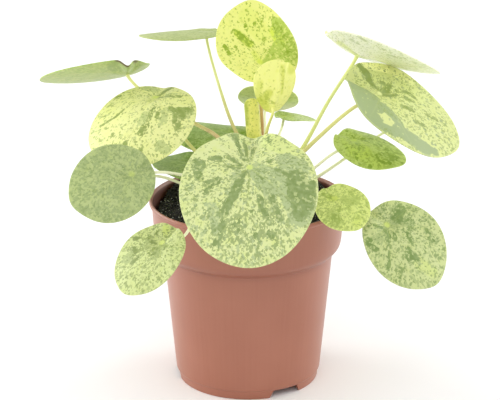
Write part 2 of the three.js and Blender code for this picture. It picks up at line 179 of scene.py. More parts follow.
def add_sign(sign, operation):
    """Lets a Flow stand on either side of a sign."""
    setattr(Flow, f"__{sign}__", lambda self, other: calculate(operation, self, other))
    setattr(Flow, f"__r{sign}__", lambda self, other: calculate(operation, other, self))


for sign, operation in SIGNS.items():
    add_sign(sign, operation)


def plug(socket, value):
    """Feeds a Flow or a plain value into a socket."""
    if isinstance(value, Flow):
        socket.id_data.links.new(value.socket, socket)
    elif socket.type == "VECTOR" and isinstance(value, (int, float)):
        socket.default_value = (value, value, value)
    else:
        socket.default_value = value


def is_vector(value):
    return value.socket.type == "VECTOR" if isinstance(value, Flow) else isinstance(value, (tuple, Vector))


def calculate(operation, *values):
    tree = next(value.socket.id_data for value in values if isinstance(value, Flow))
    vectors = any(is_vector(value) for value in values)
    node = tree.nodes.new("ShaderNodeVectorMath" if vectors else "ShaderNodeMath")
    node.operation = operation
    for socket, value in zip(node.inputs, values):
        plug(socket, value)
    return Flow(node.outputs["Value" if operation in ("LENGTH", "DOT_PRODUCT") else 0])


def add_node(tree, kind, settings=None, **inputs):
    """Adds a node. Settings are its own properties, and inputs are named as on its sockets."""
    node = tree.nodes.new(kind)
    for name, value in (settings or {}).items():
        setattr(node, name, value)
    for name, value in inputs.items():
        wanted = name.replace("_", " ").lower()
        plug(next(item for item in node.inputs if item.enabled and item.name.lower() == wanted), value)
    return node


def flow_of(tree, kind, settings=None, **inputs):
    """Adds a node and gives what flows out of it."""
    return Flow(add_node(tree, kind, settings, **inputs).outputs[0])


def sine(value):
    return calculate("SINE", value)


def cosine(value):
    return calculate("COSINE", value)


def bell(value, width):
    """1 where the value is 0, falling off to 0 past the width."""
    share = value / width
    return calculate("EXPONENT", -(share * share))


def between(start, end, share):
    return start + (end - start) * share


def limited(value, low=0.0, high=1.0):
    return calculate("MINIMUM", calculate("MAXIMUM", value, low), high)


def eased(value, low, high):
    """0 under low and 1 over high, with a smooth rise between."""
    share = limited((value - low) / (high - low))
    return share * share * (3.0 - 2.0 * share)


def joined(tree, x, y, z):
    return flow_of(tree, "ShaderNodeCombineXYZ", X=x, Y=y, Z=z)


def split(value):
    node = value.socket.id_data.nodes.new("ShaderNodeSeparateXYZ")
    plug(node.inputs[0], value)
    return [Flow(output) for output in node.outputs]


def noise(where, scale, detail=2.0, roughness=0.5):
    """Soft noise around 0, from about -0.5 to 0.5."""
    return flow_of(where.socket.id_data, "ShaderNodeTexNoise", Vector=where, Scale=scale,
                   Detail=detail, Roughness=roughness) - 0.5


print("formulas can be written in Python")

# %% [markdown]
# ## Trees with named inputs
#
# Each Geometry Nodes tree gets its sizes as named inputs, so that one tree makes all twenty
# leaves. A modifier knows an input only by its identifier, so `grow` looks the identifiers up,
# sets them before the object is first evaluated, and then turns the result into a plain mesh.

# %% Making and running a tree


def new_tree(name, kind, outputs, others, numbers):
    """A node tree, its named inputs as Flows, and its output node. Numbers are plain inputs."""
    tree = bpy.data.node_groups.new(name, kind)
    inputs = others | dict.fromkeys(numbers, "Float")
    for direction, sockets in (("OUTPUT", outputs), ("INPUT", inputs)):
        for label, value_type in sockets.items():
            tree.interface.new_socket(label, in_out=direction, socket_type=f"NodeSocket{value_type}")
    entry = tree.nodes.new("NodeGroupInput")
    flows = {label: Flow(entry.outputs[label]) for label in inputs}
    return tree, flows, tree.nodes.new("NodeGroupOutput")


def stored(tree, geometry, name, value, kind="FLOAT"):
    return flow_of(tree, "GeometryNodeStoreNamedAttribute", {"data_type": kind, "domain": "POINT"},
                   Geometry=geometry, Name=name, Value=value)


def finish_tree(tree, out, geometry, material):
    """Every tree ends the same way: smooth, with no instances left, and with its material."""
    smooth = flow_of(tree, "GeometryNodeSetShadeSmooth", Geometry=geometry)
    realized = flow_of(tree, "GeometryNodeRealizeInstances", Geometry=smooth)
    plug(out.inputs["Geometry"], flow_of(tree, "GeometryNodeSetMaterial", Geometry=realized,
                                         Material=material))


def evaluated_mesh(holder):
    """What an object's modifiers make of it, as a plain mesh. The object itself goes."""
    bpy.context.view_layer.update()
    evaluated = holder.evaluated_get(bpy.context.evaluated_depsgraph_get())
    mesh = bpy.data.meshes.new_from_object(evaluated)
    bpy.data.objects.remove(holder)
    return mesh


def grow(holder, tree, settings):
    """Runs a tree on an object and returns its result."""
    modifier = holder.modifiers.new(tree.name, "NODES")
    modifier.node_group = tree
    for item in tree.interface.items_tree:
        if item.name in settings:
            modifier[item.identifier] = settings[item.name]
    return evaluated_mesh(holder)


def place(name, mesh, node):
    """Puts a finished mesh in the scene in place of the solid that it stands for."""
    mesh.name = name
    piece = add_object(name, mesh)
    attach(piece, BODY)
    if node:
        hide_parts(node)
    return piece


print("trees can be grown")

# %% [markdown]
# ## The leaves, one row each
#
# Every leaf has the same form with other numbers. The stalk leaves the stem at height `node`,
# passes the points `via` and meets the blade at `at`. The tip points along `heading` and drops by
# `droop`, and `roll` turns the blade about that line. `size` is half the blade's length. The rest
# outlines and bends the blade, mostly as shares of `size`. `foldTurn` is an angle, `waves` counts
# the waves of the edge, and `neck` lengthens the stalk's straight end. `thickness` is at the stalk.

# %% Leaf table, in millimetres and degrees
LEAVES = {
    "front": dict(
        at=(1, -74, 158), heading=-92.5, droop=34, roll=0, size=42.5, centre=0.4, width=0.91,
        curl=0.04, arch=0.2, fold=0.14, waves=7, point=0.01, node=123,
        via=[(3, -20, 140), (1, -50, 151)]),
    "left_lower": dict(
        at=(-67, -50, 146), heading=-162, droop=19, roll=-43, size=24.9, curl=0.08, arch=0.09,
        node=117, via=[(-20, -10, 127), (-40, -24, 137), (-54, -41, 144)]),
    "left_mid": dict(
        at=(-55.5, 16, 173), heading=-115, droop=17, roll=4, size=32.8, centre=0.66, width=1.05,
        curl=0.15, arch=0.2, waves=4, node=112, via=[(-12, 3, 124), (-31, 3, 142), (-40, 7, 152)]),
    "front_left": dict(
        at=(-49, -76, 113.5), heading=-138, droop=38, roll=-2, size=23.5, curl=0.04, arch=0.07,
        node=111, via=[(-12, -18, 121), (-31, -49, 118.5), (-36, -64, 114)]),
    "right_low": dict(
        at=(82, -34, 109), heading=-28, droop=39, roll=24, size=28, centre=0.56, curl=0.04,
        arch=0.1, fold=0.12, node=113, via=[(24, -9, 120), (58, -24, 119)]),
    "right_rim": dict(
        at=(51, -32, 125), heading=-54, droop=30, roll=15, size=16.8, curl=0.04, arch=0.04,
        dish=0.12, node=117, via=[(15, -13, 125), (40, -26, 126)]),
    "right_large": dict(
        at=(78, -4, 181), heading=-7, droop=33, roll=14, size=38.5, centre=0.43, curl=0.03,
        arch=0.03, fold=0.12, dish=0.05, node=121,
        via=[(20, -1, 130), (34, -2, 145), (64, -4, 173)]),
    "right_mid": dict(
        at=(64, 8, 148), heading=-31, droop=14, roll=3, size=22.4, curl=0.2, arch=0.06, node=109,
        via=[(20, 3, 117), (39, 4, 131), (53, 7, 141)]),
    "right_top": dict(
        at=(66, 24, 197), heading=3, droop=30, roll=-21, size=36, centre=0.36,
        curl=-0.1, arch=-0.16, waves=3, node=116, via=[(19, 4, 123), (34, 8, 145), (49, 16, 171)]),
    "top_left": dict(
        at=(-25, 34, 208.5), heading=-155, droop=-2, roll=9, size=25, centre=0.66, curl=0.14,
        arch=0.02, node=134, via=[(-8.7, 10, 156), (-16.8, 22, 176)]),
    "far_left": dict(
        at=(-74, 40, 181.2), heading=168, droop=20, roll=22, size=33.5, centre=0.6, curl=-0.1,
        arch=-0.08, fold=0.12, foldTurn=-66, foldWidth=0.1, waves=3, neck=0.4, node=129,
        via=[(-19.5, 12, 150), (-32, 20, 155), (-65, 36, 171)]),
    "back": dict(
        at=(12, 58, 160), heading=85, droop=44, roll=1, size=19.5, centre=0.35, curl=-0.1,
        arch=-0.1, node=131, via=[(9.8, 20, 147), (10.4, 46, 154)]),
    "back_right": dict(
        at=(22.3, 52, 149.9), heading=10, droop=6, roll=-4, size=12.2, centre=0.56, curl=0.03,
        egg=-0.37, point=0.09, node=126, via=[(11, 10, 135), (19, 28, 145)]),
    "top": dict(
        at=(7, 0, 199.3), heading=106, droop=-40, roll=6, size=27.3, centre=0.34, width=0.93,
        curl=0.06, arch=-0.14, fold=0.16, foldTurn=40, waves=6, node=138,
        via=[(8.2, 6.4, 150), (7.8, 6.6, 171)]),
    "young_cupped": dict(
        at=(14.1, -20, 177), heading=-68, droop=-70, roll=-10, size=16.6, centre=0.8, width=0.74,
        curl=-0.3, arch=-0.06, dish=0.04, fold=0.12, foldTurn=188, foldWidth=0.09, egg=0.24,
        thickness=0.8, node=137, via=[(9.3, -5, 150), (11.8, -13, 163)]),
    "young_rolled": dict(
        at=(4.2, -2.2, 149.8), heading=180, droop=-85.5, roll=95, size=13.6, centre=0.88,
        width=0.57, curl=-1.8, arch=0, dish=0, fold=0, wave=0.01, egg=0.05, point=0.08,
        thickness=0.8, node=139.5, via=[(1.4, -1.2, 143.8), (3, -4.8, 146.6)]),
    "back_left": dict(
        at=(-7, 48, 138), heading=170, droop=-6, roll=-4, size=27, curl=0.22, node=120,
        via=[(0, 14, 126), (-5, 34, 131)]),
    "left_small": dict(
        at=(-34, 16, 131), heading=-140, droop=6, roll=-11, size=18, centre=0.45, curl=0.16,
        arch=-0.1, node=115, via=[(-6, 8, 121), (-20, 12, 126)]),
    "left_hidden": dict(
        at=(-76, -16, 135), heading=186, droop=30, roll=-10, size=14, node=107,
        via=[(-20, 0, 113), (-40, -5, 125), (-54, -9, 131)]),
    "right_hidden": dict(
        at=(97, 34, 154), heading=14, droop=30, roll=4, size=15, node=105,
        via=[(20, 7, 112), (42, 10, 124), (81, 26, 146)]),
}
USUAL_LEAF = dict(centre=0.5, width=0.97, curl=0.1, arch=0.06, dish=0.09, fold=0.1, foldTurn=0,
                  foldWidth=0.17, wave=0.018, waves=5, egg=0, point=0.035, neck=1, thickness=1)
for leaf_name, leaf in LEAVES.items():
    LEAVES[leaf_name] = USUAL_LEAF | leaf
print(len(LEAVES), "leaves")

# %% Which way a blade faces


def blade_axes(leaf):
    """The blade's own axes: across it, towards its tip, and out of its upper side."""
    heading, droop, roll = (math.radians(leaf[key]) for key in ("heading", "droop", "roll"))
    level = Matrix.Rotation(heading, 3, "Z")
    tip = level @ Vector((math.cos(droop), 0, -math.sin(droop)))
    up = Matrix.Rotation(roll, 3, tip) @ level @ Vector((math.sin(droop), 0, math.cos(droop)))
    return tip.cross(up), tip, up


print("the front leaf faces", [round(value, 2) for value in blade_axes(LEAVES["front"])[2]])

# %% [markdown]
# ## The form of a blade
#
# A blade of this plant is a shield: nearly round, with the stalk under it, a dimple over the
# stalk, and a crease that runs from there to the near edge. It bends like a shallow roof, or up
# like a bowl while it is young. `leaf form` works that out for one angle from the tip and one
# share of the way to the edge, for a blade of size 1. It is a node group, because the blade tree
# asks it for a point and also for the points around it, which give the surface's direction.

# %% The formula for a blade
TIP_SPREAD = 0.22
DISH_SPREAD = 0.22
CREASE_LENGTH = 0.45
NO_BEND = 0.0001
FORM_NUMBERS = {"Centre": "centre", "Width": "width", "Curl": "curl", "Arch": "arch",
                "Dish": "dish", "Fold": "fold", "Fold Turn": "foldTurn", "Fold Width": "foldWidth",
                "Wave": "wave", "Waves": "waves", "Egg": "egg", "Point": "point"}


def edge_reach(angle, leaf):
    """How far the edge is from the stalk, at an angle from the tip."""
    across = sine(angle) / leaf["Width"]
    along = cosine(angle)
    length = across * across + along * along
    shifted = leaf["Centre"] * along
    root = calculate("SQRT", shifted * shifted + (1.0 - leaf["Centre"] * leaf["Centre"]) * length)
    from_tip = calculate("ARCTAN2", sine(angle), cosine(angle))
    return (shifted + root) / length * (1.0 + leaf["Point"] * bell(from_tip, TIP_SPREAD))


def form_tree():
    tree, leaf, out = new_tree("leaf form", "GeometryNodeTree", {"Place": "Vector", "Plan": "Vector"},
                               {}, ["Angle", "Share", *FORM_NUMBERS, "Phase"])
    reach = leaf["Share"] * edge_reach(leaf["Angle"], leaf)
    along = reach * cosine(leaf["Angle"])
    across = reach * sine(leaf["Angle"]) * (1.0 + leaf["Egg"] * (along - leaf["Centre"]))
    turn = calculate("RADIANS", leaf["Fold Turn"])
    fold_across = across * cosine(turn) + along * sine(turn)
    fold_along = across * sine(turn) - along * cosine(turn)
    dish = leaf["Dish"] * (1.0 - bell(reach, DISH_SPREAD))
    crease = leaf["Fold"] * bell(fold_across, leaf["Fold Width"])
    crease = crease * eased(fold_along, 0.0, CREASE_LENGTH)
    wave = leaf["Wave"] * leaf["Share"] * leaf["Share"]
    wave = wave * sine(leaf["Waves"] * leaf["Angle"] + leaf["Phase"])
    bend = 2.0 * leaf["Curl"] + NO_BEND
    sideways = sine(bend * across) / bend
    fall = (1.0 - cosine(bend * across)) / bend
    height = dish - crease + wave - fall - leaf["Arch"] * along * along
    plug(out.inputs["Place"], joined(tree, sideways, along, height))
    plug(out.inputs["Plan"], joined(tree, across, along, 0.0))
    return tree


FORM = form_tree()
print("leaf form has", len(FORM.nodes), "nodes")

# %% [markdown]
# ## Veins
#
# Nine main veins leave the point over the stalk and bend towards the tip on their way to the
# edge. They are faint, slightly sunken lines on the upper side. One function gives how near a
# point is to such a vein, for the relief of the mesh here and for its colour further down.

# %% The veins as a formula
VEIN_COUNT = 9
VEIN_BEND = 0.22
VEIN_BEND_LENGTH = 30.0


def vein_distance(plan):
    """Millimetres from a point of the flat leaf, given in millimetres, to the nearest main vein."""
    across, along, _ = split(plan)
    reach = calculate("LENGTH", plan)
    angle = calculate("ARCTAN2", across, along)
    bent = angle * (1.0 - VEIN_BEND * reach / (reach + VEIN_BEND_LENGTH))
    return reach * calculate("ABSOLUTE", sine(bent * (VEIN_COUNT / 2))) * (2 / VEIN_COUNT)


print(VEIN_COUNT, "veins")

# %% [markdown]
# ## The blade tree
#
# A grid is wrapped round the leaf. Its rows run from the stalk over the upper side to the edge,
# round the edge, and back underneath to the stalk. Its columns run round the leaf. So the blade is
# one closed sheet with a rounded rim, thickest at the stalk. Soft lumps and sunken veins move both
# of its sides alike. Each point also keeps its place in the flat leaf as an attribute, in
# millimetres, because the pattern has to follow the surface.

# %% Blade tree
FACE_ROWS = 0.44  # share of the rows on each side of the blade
EDGE_THICKNESS = 0.7
STEP = 0.02
LUMP_SIZE = 13.0
LUMP_HEIGHT = 0.35
VEIN_DEPTH = 0.22
VEIN_HALF_WIDTH = 1.3
EDGE_NOISE = 0.012
EDGE_NOISE_SCALE = 2.2
MERGE_WITHIN = 2e-6
ROUND_THE_STALK = 0.08  # share of the way out over which the surface's direction settles
BLADE_SETTINGS = {"Stalk Point": "Vector", "Across": "Vector", "Tip": "Vector", "Up": "Vector",
                  "Rows": "Int", "Columns": "Int", "Material": "Material"}


def formed(tree, leaf, angle, share, output="Place"):
    """A point of the blade of size 1, from the group above."""
    group = add_node(tree, "GeometryNodeGroup", {"node_tree": FORM})
    numbers = {label: leaf[label] for label in [*FORM_NUMBERS, "Phase"]}
    for label, value in (numbers | {"Angle": angle, "Share": share}).items():
        plug(group.inputs[label], value)
    return Flow(group.outputs[output])


def surface_directions(tree, leaf, angle, share):
    """Outwards along the surface, and out of its upper side, from the points around."""
    sloped = calculate("MAXIMUM", share, 2.0 * STEP)
    outward = formed(tree, leaf, angle, sloped + STEP) - formed(tree, leaf, angle, sloped - STEP)
    around = formed(tree, leaf, angle + STEP, sloped) - formed(tree, leaf, angle - STEP, sloped)
    outward = calculate("NORMALIZE", outward)
    normal = calculate("NORMALIZE", calculate("CROSS_PRODUCT", around, outward))
    normal = between(joined(tree, 0.0, 0.0, 1.0), normal, eased(share, 0.0, ROUND_THE_STALK))
    return outward, calculate("NORMALIZE", normal)


def blade_tree():
    tree, leaf, out = new_tree("leaf blade", "GeometryNodeTree", {"Geometry": "Geometry"}, BLADE_SETTINGS,
                               ["Size", *FORM_NUMBERS, "Phase", "Thickness", "Seed"])
    grid = flow_of(tree, "GeometryNodeMeshGrid", Size_X=1.0, Size_Y=1.0, Vertices_X=leaf["Rows"],
                   Vertices_Y=leaf["Columns"])
    row, column, _ = split(flow_of(tree, "GeometryNodeInputPosition"))
    row = row + 0.5
    angle = (column + 0.5) * math.tau
    share = limited(calculate("MINIMUM", row, 1.0 - row) / FACE_ROWS)
    rim = limited((row - FACE_ROWS) / (1.0 - 2.0 * FACE_ROWS)) * math.pi
    edge_noise = noise(joined(tree, sine(angle), cosine(angle), leaf["Seed"]), EDGE_NOISE_SCALE, 4.0)
    share = share * (1.0 + edge_noise * EDGE_NOISE * share)

    outward, normal = surface_directions(tree, leaf, angle, share)
    plan = formed(tree, leaf, angle, share, "Plan") * leaf["Size"]
    half = between(leaf["Thickness"], EDGE_THICKNESS, share * share) * 0.5
    lumps = noise(plan + joined(tree, 0.0, 0.0, leaf["Seed"] * 9.0), 1 / LUMP_SIZE) * LUMP_HEIGHT
    veins = bell(vein_distance(plan), VEIN_HALF_WIDTH) * eased(share, 0.05, 0.2) * (1.0 - share)
    lift = (lumps - veins * VEIN_DEPTH) * eased(share, 0.0, 0.15) + half * (cosine(rim) - 1.0)
    point = formed(tree, leaf, angle, share) * leaf["Size"]
    across, along, height = split(point + normal * lift + outward * (half * sine(rim)))
    world = leaf["Stalk Point"] + leaf["Across"] * across + leaf["Tip"] * along + leaf["Up"] * height

    sheet = stored(tree, grid, "plan", plan, "FLOAT_VECTOR")
    sheet = stored(tree, sheet, "share", share)
    sheet = stored(tree, sheet, "side", cosine(rim) * 0.5 + 0.5)
    sheet = flow_of(tree, "GeometryNodeSetPosition", Geometry=sheet, Position=world * MM)
    sheet = flow_of(tree, "GeometryNodeMergeByDistance", Geometry=sheet, Distance=MERGE_WITHIN)
    finish_tree(tree, out, flow_of(tree, "GeometryNodeFlipFaces", Mesh=sheet), leaf["Material"])
    return tree


BLADE = blade_tree()
print("leaf blade has", len(BLADE.nodes), "nodes")

# %% [markdown]
# ## Stalks and stem
#
# A stalk is a round, slightly tapering rod along a smooth curve, flared where it leaves the stem
# and swollen just under the blade. The stem is the same kind of rod, thicker, with the raised
# rings that shed leaves leave behind and a rounded top. One tree makes both: the curve is handed
# to it, and its inputs say how the radius changes along the way.

# %% Smooth curves
LEAST_SPAN = 1e-4


def smooth_path(points, steps):
    """Points along the centripetal Catmull-Rom curve through the given points."""
    points = [Vector(point) for point in points]
    padded = [2 * points[0] - points[1], *points, 2 * points[-1] - points[-2]]
    path = []
    for before, start, end, after in zip(padded, padded[1:], padded[2:], padded[3:]):
        spans = [max((b - a).length ** 0.5, LEAST_SPAN)
                 for a, b in ((before, start), (start, end), (end, after))]
        leave = ((start - before) / spans[0] - (end - before) / (spans[0] + spans[1])
                 + (end - start) / spans[1]) * spans[1]
        arrive = ((end - start) / spans[1] - (after - start) / (spans[1] + spans[2])
                  + (after - end) / spans[2]) * spans[1]
        for step in range(steps):
            t = step / steps
            path.append(start * (2 * t ** 3 - 3 * t ** 2 + 1) + leave * (t ** 3 - 2 * t ** 2 + t)
                        + end * (3 * t ** 2 - 2 * t ** 3) + arrive * (t ** 3 - t ** 2))
    path.append(points[-1])
    return path


def path_holder(name, path):
    """A curve object along a path in millimetres."""
    curve = bpy.data.curves.new(name, "CURVE")
    curve.dimensions = "3D"
    spline = curve.splines.new("POLY")
    spline.points.add(len(path) - 1)
    for target, point in zip(spline.points, path):
        target.co = (*(point * MM), 1)
    return add_object(name, curve)


STEM_PATH = [(0, 2, 84), (1, 2, 104), (3, 2, 124), (5, 2, 141)]
STEM_STEPS = 12
stem_path = smooth_path(STEM_PATH, STEM_STEPS)
print("stem of", round(sum((b - a).length for a, b in zip(stem_path, stem_path[1:]))), "mm")

# %% Rod tree
ROD_NUMBERS = ["Foot Radius", "Top Radius", "Taper", "Flare", "Flare Length", "Swell",
               "Swell Length", "Rings", "Ring Rise", "Crown", "Knobs", "Seed", "Spacing"]
KNOB_SCALE = 0.45
RING_FOOT = 0.35  # lifts the rings, so that more of each stands out than is cut in


def rod_radius(rod, along, distance, left):
    """The radius at a share of the way, so far from the foot and so far from the end."""
    radius = between(rod["Foot Radius"], rod["Top Radius"], limited(along / rod["Taper"]))
    radius = radius + rod["Flare"] * bell(distance, rod["Flare Length"])
    radius = radius + rod["Swell"] * bell(left, rod["Swell Length"])
    radius = radius + rod["Ring Rise"] * (cosine(along * rod["Rings"] * math.tau) + RING_FOOT)
    past = limited(1.0 - left / calculate("MAXIMUM", rod["Crown"], 0.01))
    return radius * calculate("SQRT", 1.02 - past * past)


def rod_tree():
    tree, rod, out = new_tree("rod", "GeometryNodeTree", {"Geometry": "Geometry"},
                              {"Path": "Geometry", "Sides": "Int", "Material": "Material"}, ROD_NUMBERS)
    path = flow_of(tree, "GeometryNodeResampleCurve", {"mode": "LENGTH"}, Curve=rod["Path"],
                   Length=rod["Spacing"] * MM)
    parameter = tree.nodes.new("GeometryNodeSplineParameter")
    along = Flow(parameter.outputs["Factor"])
    distance = Flow(parameter.outputs["Length"]) / MM
    left = flow_of(tree, "GeometryNodeCurveLength", Curve=rod["Path"]) / MM - distance
    path = stored(tree, path, "along", along)
    section = flow_of(tree, "GeometryNodeCurvePrimitiveCircle", {"mode": "RADIUS"},
                      Resolution=rod["Sides"], Radius=1.0)
    swept = flow_of(tree, "GeometryNodeCurveToMesh", Curve=path, Profile_Curve=section,
                    Scale=rod_radius(rod, along, distance, left) * MM, Fill_Caps=True)
    where = flow_of(tree, "GeometryNodeInputPosition") / MM + joined(tree, rod["Seed"], 0.0, 0.0)
    bumps = noise(where, KNOB_SCALE, 3.0) * rod["Knobs"]
    offset = flow_of(tree, "GeometryNodeInputNormal") * bumps * MM
    knobbly = flow_of(tree, "GeometryNodeSetPosition", Geometry=swept, Offset=offset)
    finish_tree(tree, out, knobbly, rod["Material"])
    return tree


ROD = rod_tree()
print("rod has", len(ROD.nodes), "nodes")

# %% [markdown]
# ## The leaf's colours
#
# Marbled leaves are a patchwork. Parts of the blade have no green in their upper layers and look
# cream or yellow, parts have some and look grey-green with soft borders, and specks and streaks
# have all of it and are crisp and dark. The borders follow the cells of the leaf, so small
# Voronoi cells are switched on or off by chance, and the chance is higher in patches and in
# streaks that leave the stalk. Each leaf mixes these its own way.

# %% Material helpers


def attribute(tree, name, output="Fac"):
    node = add_node(tree, "ShaderNodeAttribute", {"attribute_name": name})
    return Flow(node.outputs[output])


def object_place(tree):
    """The point in millimetres."""
    return Flow(tree.nodes.new("ShaderNodeTexCoord").outputs["Object"]) / MM


def cells(where, size):
    """A random number from 0 to 1, the same all over each small cell."""
    tree = where.socket.id_data
    texture = add_node(tree, "ShaderNodeTexVoronoi", Vector=where, Scale=1 / size)
    return flow_of(tree, "ShaderNodeSeparateColor", Color=Flow(texture.outputs["Color"]))


def seen(code):
    """A colour as it is seen, #rrggbb, as the linear one that light is worked out with."""
    shares = [value / 255 for value in bytes.fromhex(code[1:])]
    return (*[s / 12.92 if s <= 0.04045 else ((s + 0.055) / 1.055) ** 2.4 for s in shares], 1)


def mixed(tree, share, start, end):
    """One colour into another. Either may be a Flow or a colour code."""
    node = tree.nodes.new("ShaderNodeMix")
    node.data_type = "RGBA"
    plug(node.inputs[0], share)
    for socket, colour in ((node.inputs[6], start), (node.inputs[7], end)):
        plug(socket, colour if isinstance(colour, Flow) else seen(colour))
    return Flow(node.outputs[2])


def finish_shader(tree, shader, colour, height, depth):
    """Gives a shader its colour, and a fine relief of this depth in millimetres."""
    plug(shader.inputs["Base Color"], colour)
    bump = flow_of(tree, "ShaderNodeBump", Height=height, Distance=depth * MM, Strength=1.0)
    plug(shader.inputs["Normal"], bump)


print("white is", seen("#ffffff"))

# %% Leaf pattern group
PATTERN_NUMBERS = ["Dark Share", "Coarse", "Mid Share", "Streaks", "Veins", "Dot", "Show Through",
                   "Pale Share", "Seed"]
PATTERN_COLOURS = ["Ground", "Warm", "Lime", "Mid", "Dark", "Back"]
DRY_BROWN = "#624e2e"
COARSE_CELL = 2.0
FINE_CELL = 0.78
MID_CELL = 1.3
PALE_CELL = 1.1
RAGGEDNESS = 1.8  # how far the borders of a patch wander, in millimetres
DRAWN_FROM = 18.0
DRAWN_OUT = 0.2  # cells are drawn out away from the stalk, and are smaller near it
VEIN_LINE = 0.45
SEED_STEP = 17.0  # moves each leaf to another part of the noise
RAYS = 9.0
BORDER_SCALE = 0.9


def add_amounts(tree, look, plan, reach):
    """Where the noise is read, and how much a point has of grey-green, dark and pale specks."""
    across, along, _ = split(plan)
    shifted = plan + joined(tree, 0.0, 0.0, look["Seed"] * SEED_STEP)
    rays = joined(tree, across / reach * RAYS, along / reach * RAYS, reach * 0.07 + look["Seed"] * 5.0)
    streak = noise(rays, 1.0, 3.0)
    near = 1.0 - eased(reach, 3.0, 14.0)
    drift = noise(shifted, 0.11, 2.0)
    drawn = plan * calculate("POWER", reach / DRAWN_FROM, -DRAWN_OUT)
    ragged = joined(tree, noise(shifted, BORDER_SCALE, 3.0), noise(shifted + 40.0, BORDER_SCALE, 3.0),
                    look["Seed"] * SEED_STEP)
    ragged = drawn + ragged * joined(tree, RAGGEDNESS, RAGGEDNESS, 1.0)

    painted = attribute(tree, "mid")
    mid_chance = look["Mid Share"] + painted + drift * 0.7 + streak * look["Streaks"]
    mid_chance = mid_chance + noise(ragged, 0.4, 4.0, 0.6) * 0.8
    mid_cells = look["Mid Share"] + painted - cells(ragged + 60.0, MID_CELL)
    mid = calculate("MAXIMUM", eased(mid_chance, 0.46, 0.58) * 0.75, eased(mid_cells, 0.0, 0.1))

    brushed = attribute(tree, "dark")
    chance = look["Dark Share"] + drift * 0.3 + streak * look["Streaks"] * (0.5 + near)
    coarse = chance + brushed + look["Coarse"] - cells(ragged, COARSE_CELL)
    fine = chance + limited(brushed, -0.4, 0.5) - cells(ragged + 30.0, FINE_CELL)
    dark = calculate("MAXIMUM", eased(coarse, -0.03, 0.03), eased(fine, -0.08, 0.08) * 0.8)
    pale = eased(look["Pale Share"] - cells(ragged + 90.0, PALE_CELL), -0.02, 0.02) * 0.6
    return shifted, mid, dark * eased(reach, 1.0, 2.2), pale


def pattern_tree():
    tree, look, out = new_tree("leaf pattern", "ShaderNodeTree", {"Colour": "Color", "Height": "Float"},
                               dict.fromkeys(PATTERN_COLOURS, "Color"), PATTERN_NUMBERS)
    plan = attribute(tree, "plan", "Vector")
    share = attribute(tree, "share")
    upper = eased(attribute(tree, "side"), 0.3, 0.7)
    reach = calculate("MAXIMUM", calculate("LENGTH", plan), 0.01)
    shifted, mid, dark, pale = add_amounts(tree, look, plan, reach)
    lime = limited(attribute(tree, "lime"))
    ground = mixed(tree, lime, look["Ground"], look["Lime"])
    warmth = eased(noise(shifted + 7.0, 0.2, 2.0), -0.1, 0.3) * 0.5
    colour = mixed(tree, mid * (1.0 - pale), mixed(tree, warmth, ground, look["Warm"]), look["Mid"])
    tone = eased(noise(shifted + 23.0, 0.35, 3.0), -0.15, 0.2) * 0.35
    colour = mixed(tree, dark * (1.0 - pale), colour, mixed(tree, tone, look["Dark"], look["Mid"]))
    vein = bell(vein_distance(plan), VEIN_LINE) * eased(reach, 1.0, 4.0) * (1.0 - share)
    colour = mixed(tree, vein * look["Veins"], colour, look["Warm"])
    colour = mixed(tree, (1.0 - eased(reach, 1.0, 2.6)) * look["Dot"], colour, look["Lime"])
    colour = mixed(tree, eased(share, 0.97, 0.99) * 0.35, colour, look["Ground"])
    under = mixed(tree, lime * limited(look["Show Through"] * 1.2), look["Back"], look["Lime"])
    under = mixed(tree, mid * 0.45, under, look["Mid"])
    under = mixed(tree, dark * look["Show Through"], under, look["Dark"])
    colour = mixed(tree, upper, under, colour)
    colour = mixed(tree, limited(attribute(tree, "brown")) * 0.9, colour, DRY_BROWN)
    plug(out.inputs["Colour"], colour)
    pores = noise(shifted, 2.6, 3.0)
    plug(out.inputs["Height"], pores * 0.5 - vein * 0.8 + noise(shifted, 0.5, 2.0))
    return tree


PATTERN = pattern_tree()
print("leaf pattern has", len(PATTERN.nodes), "nodes")

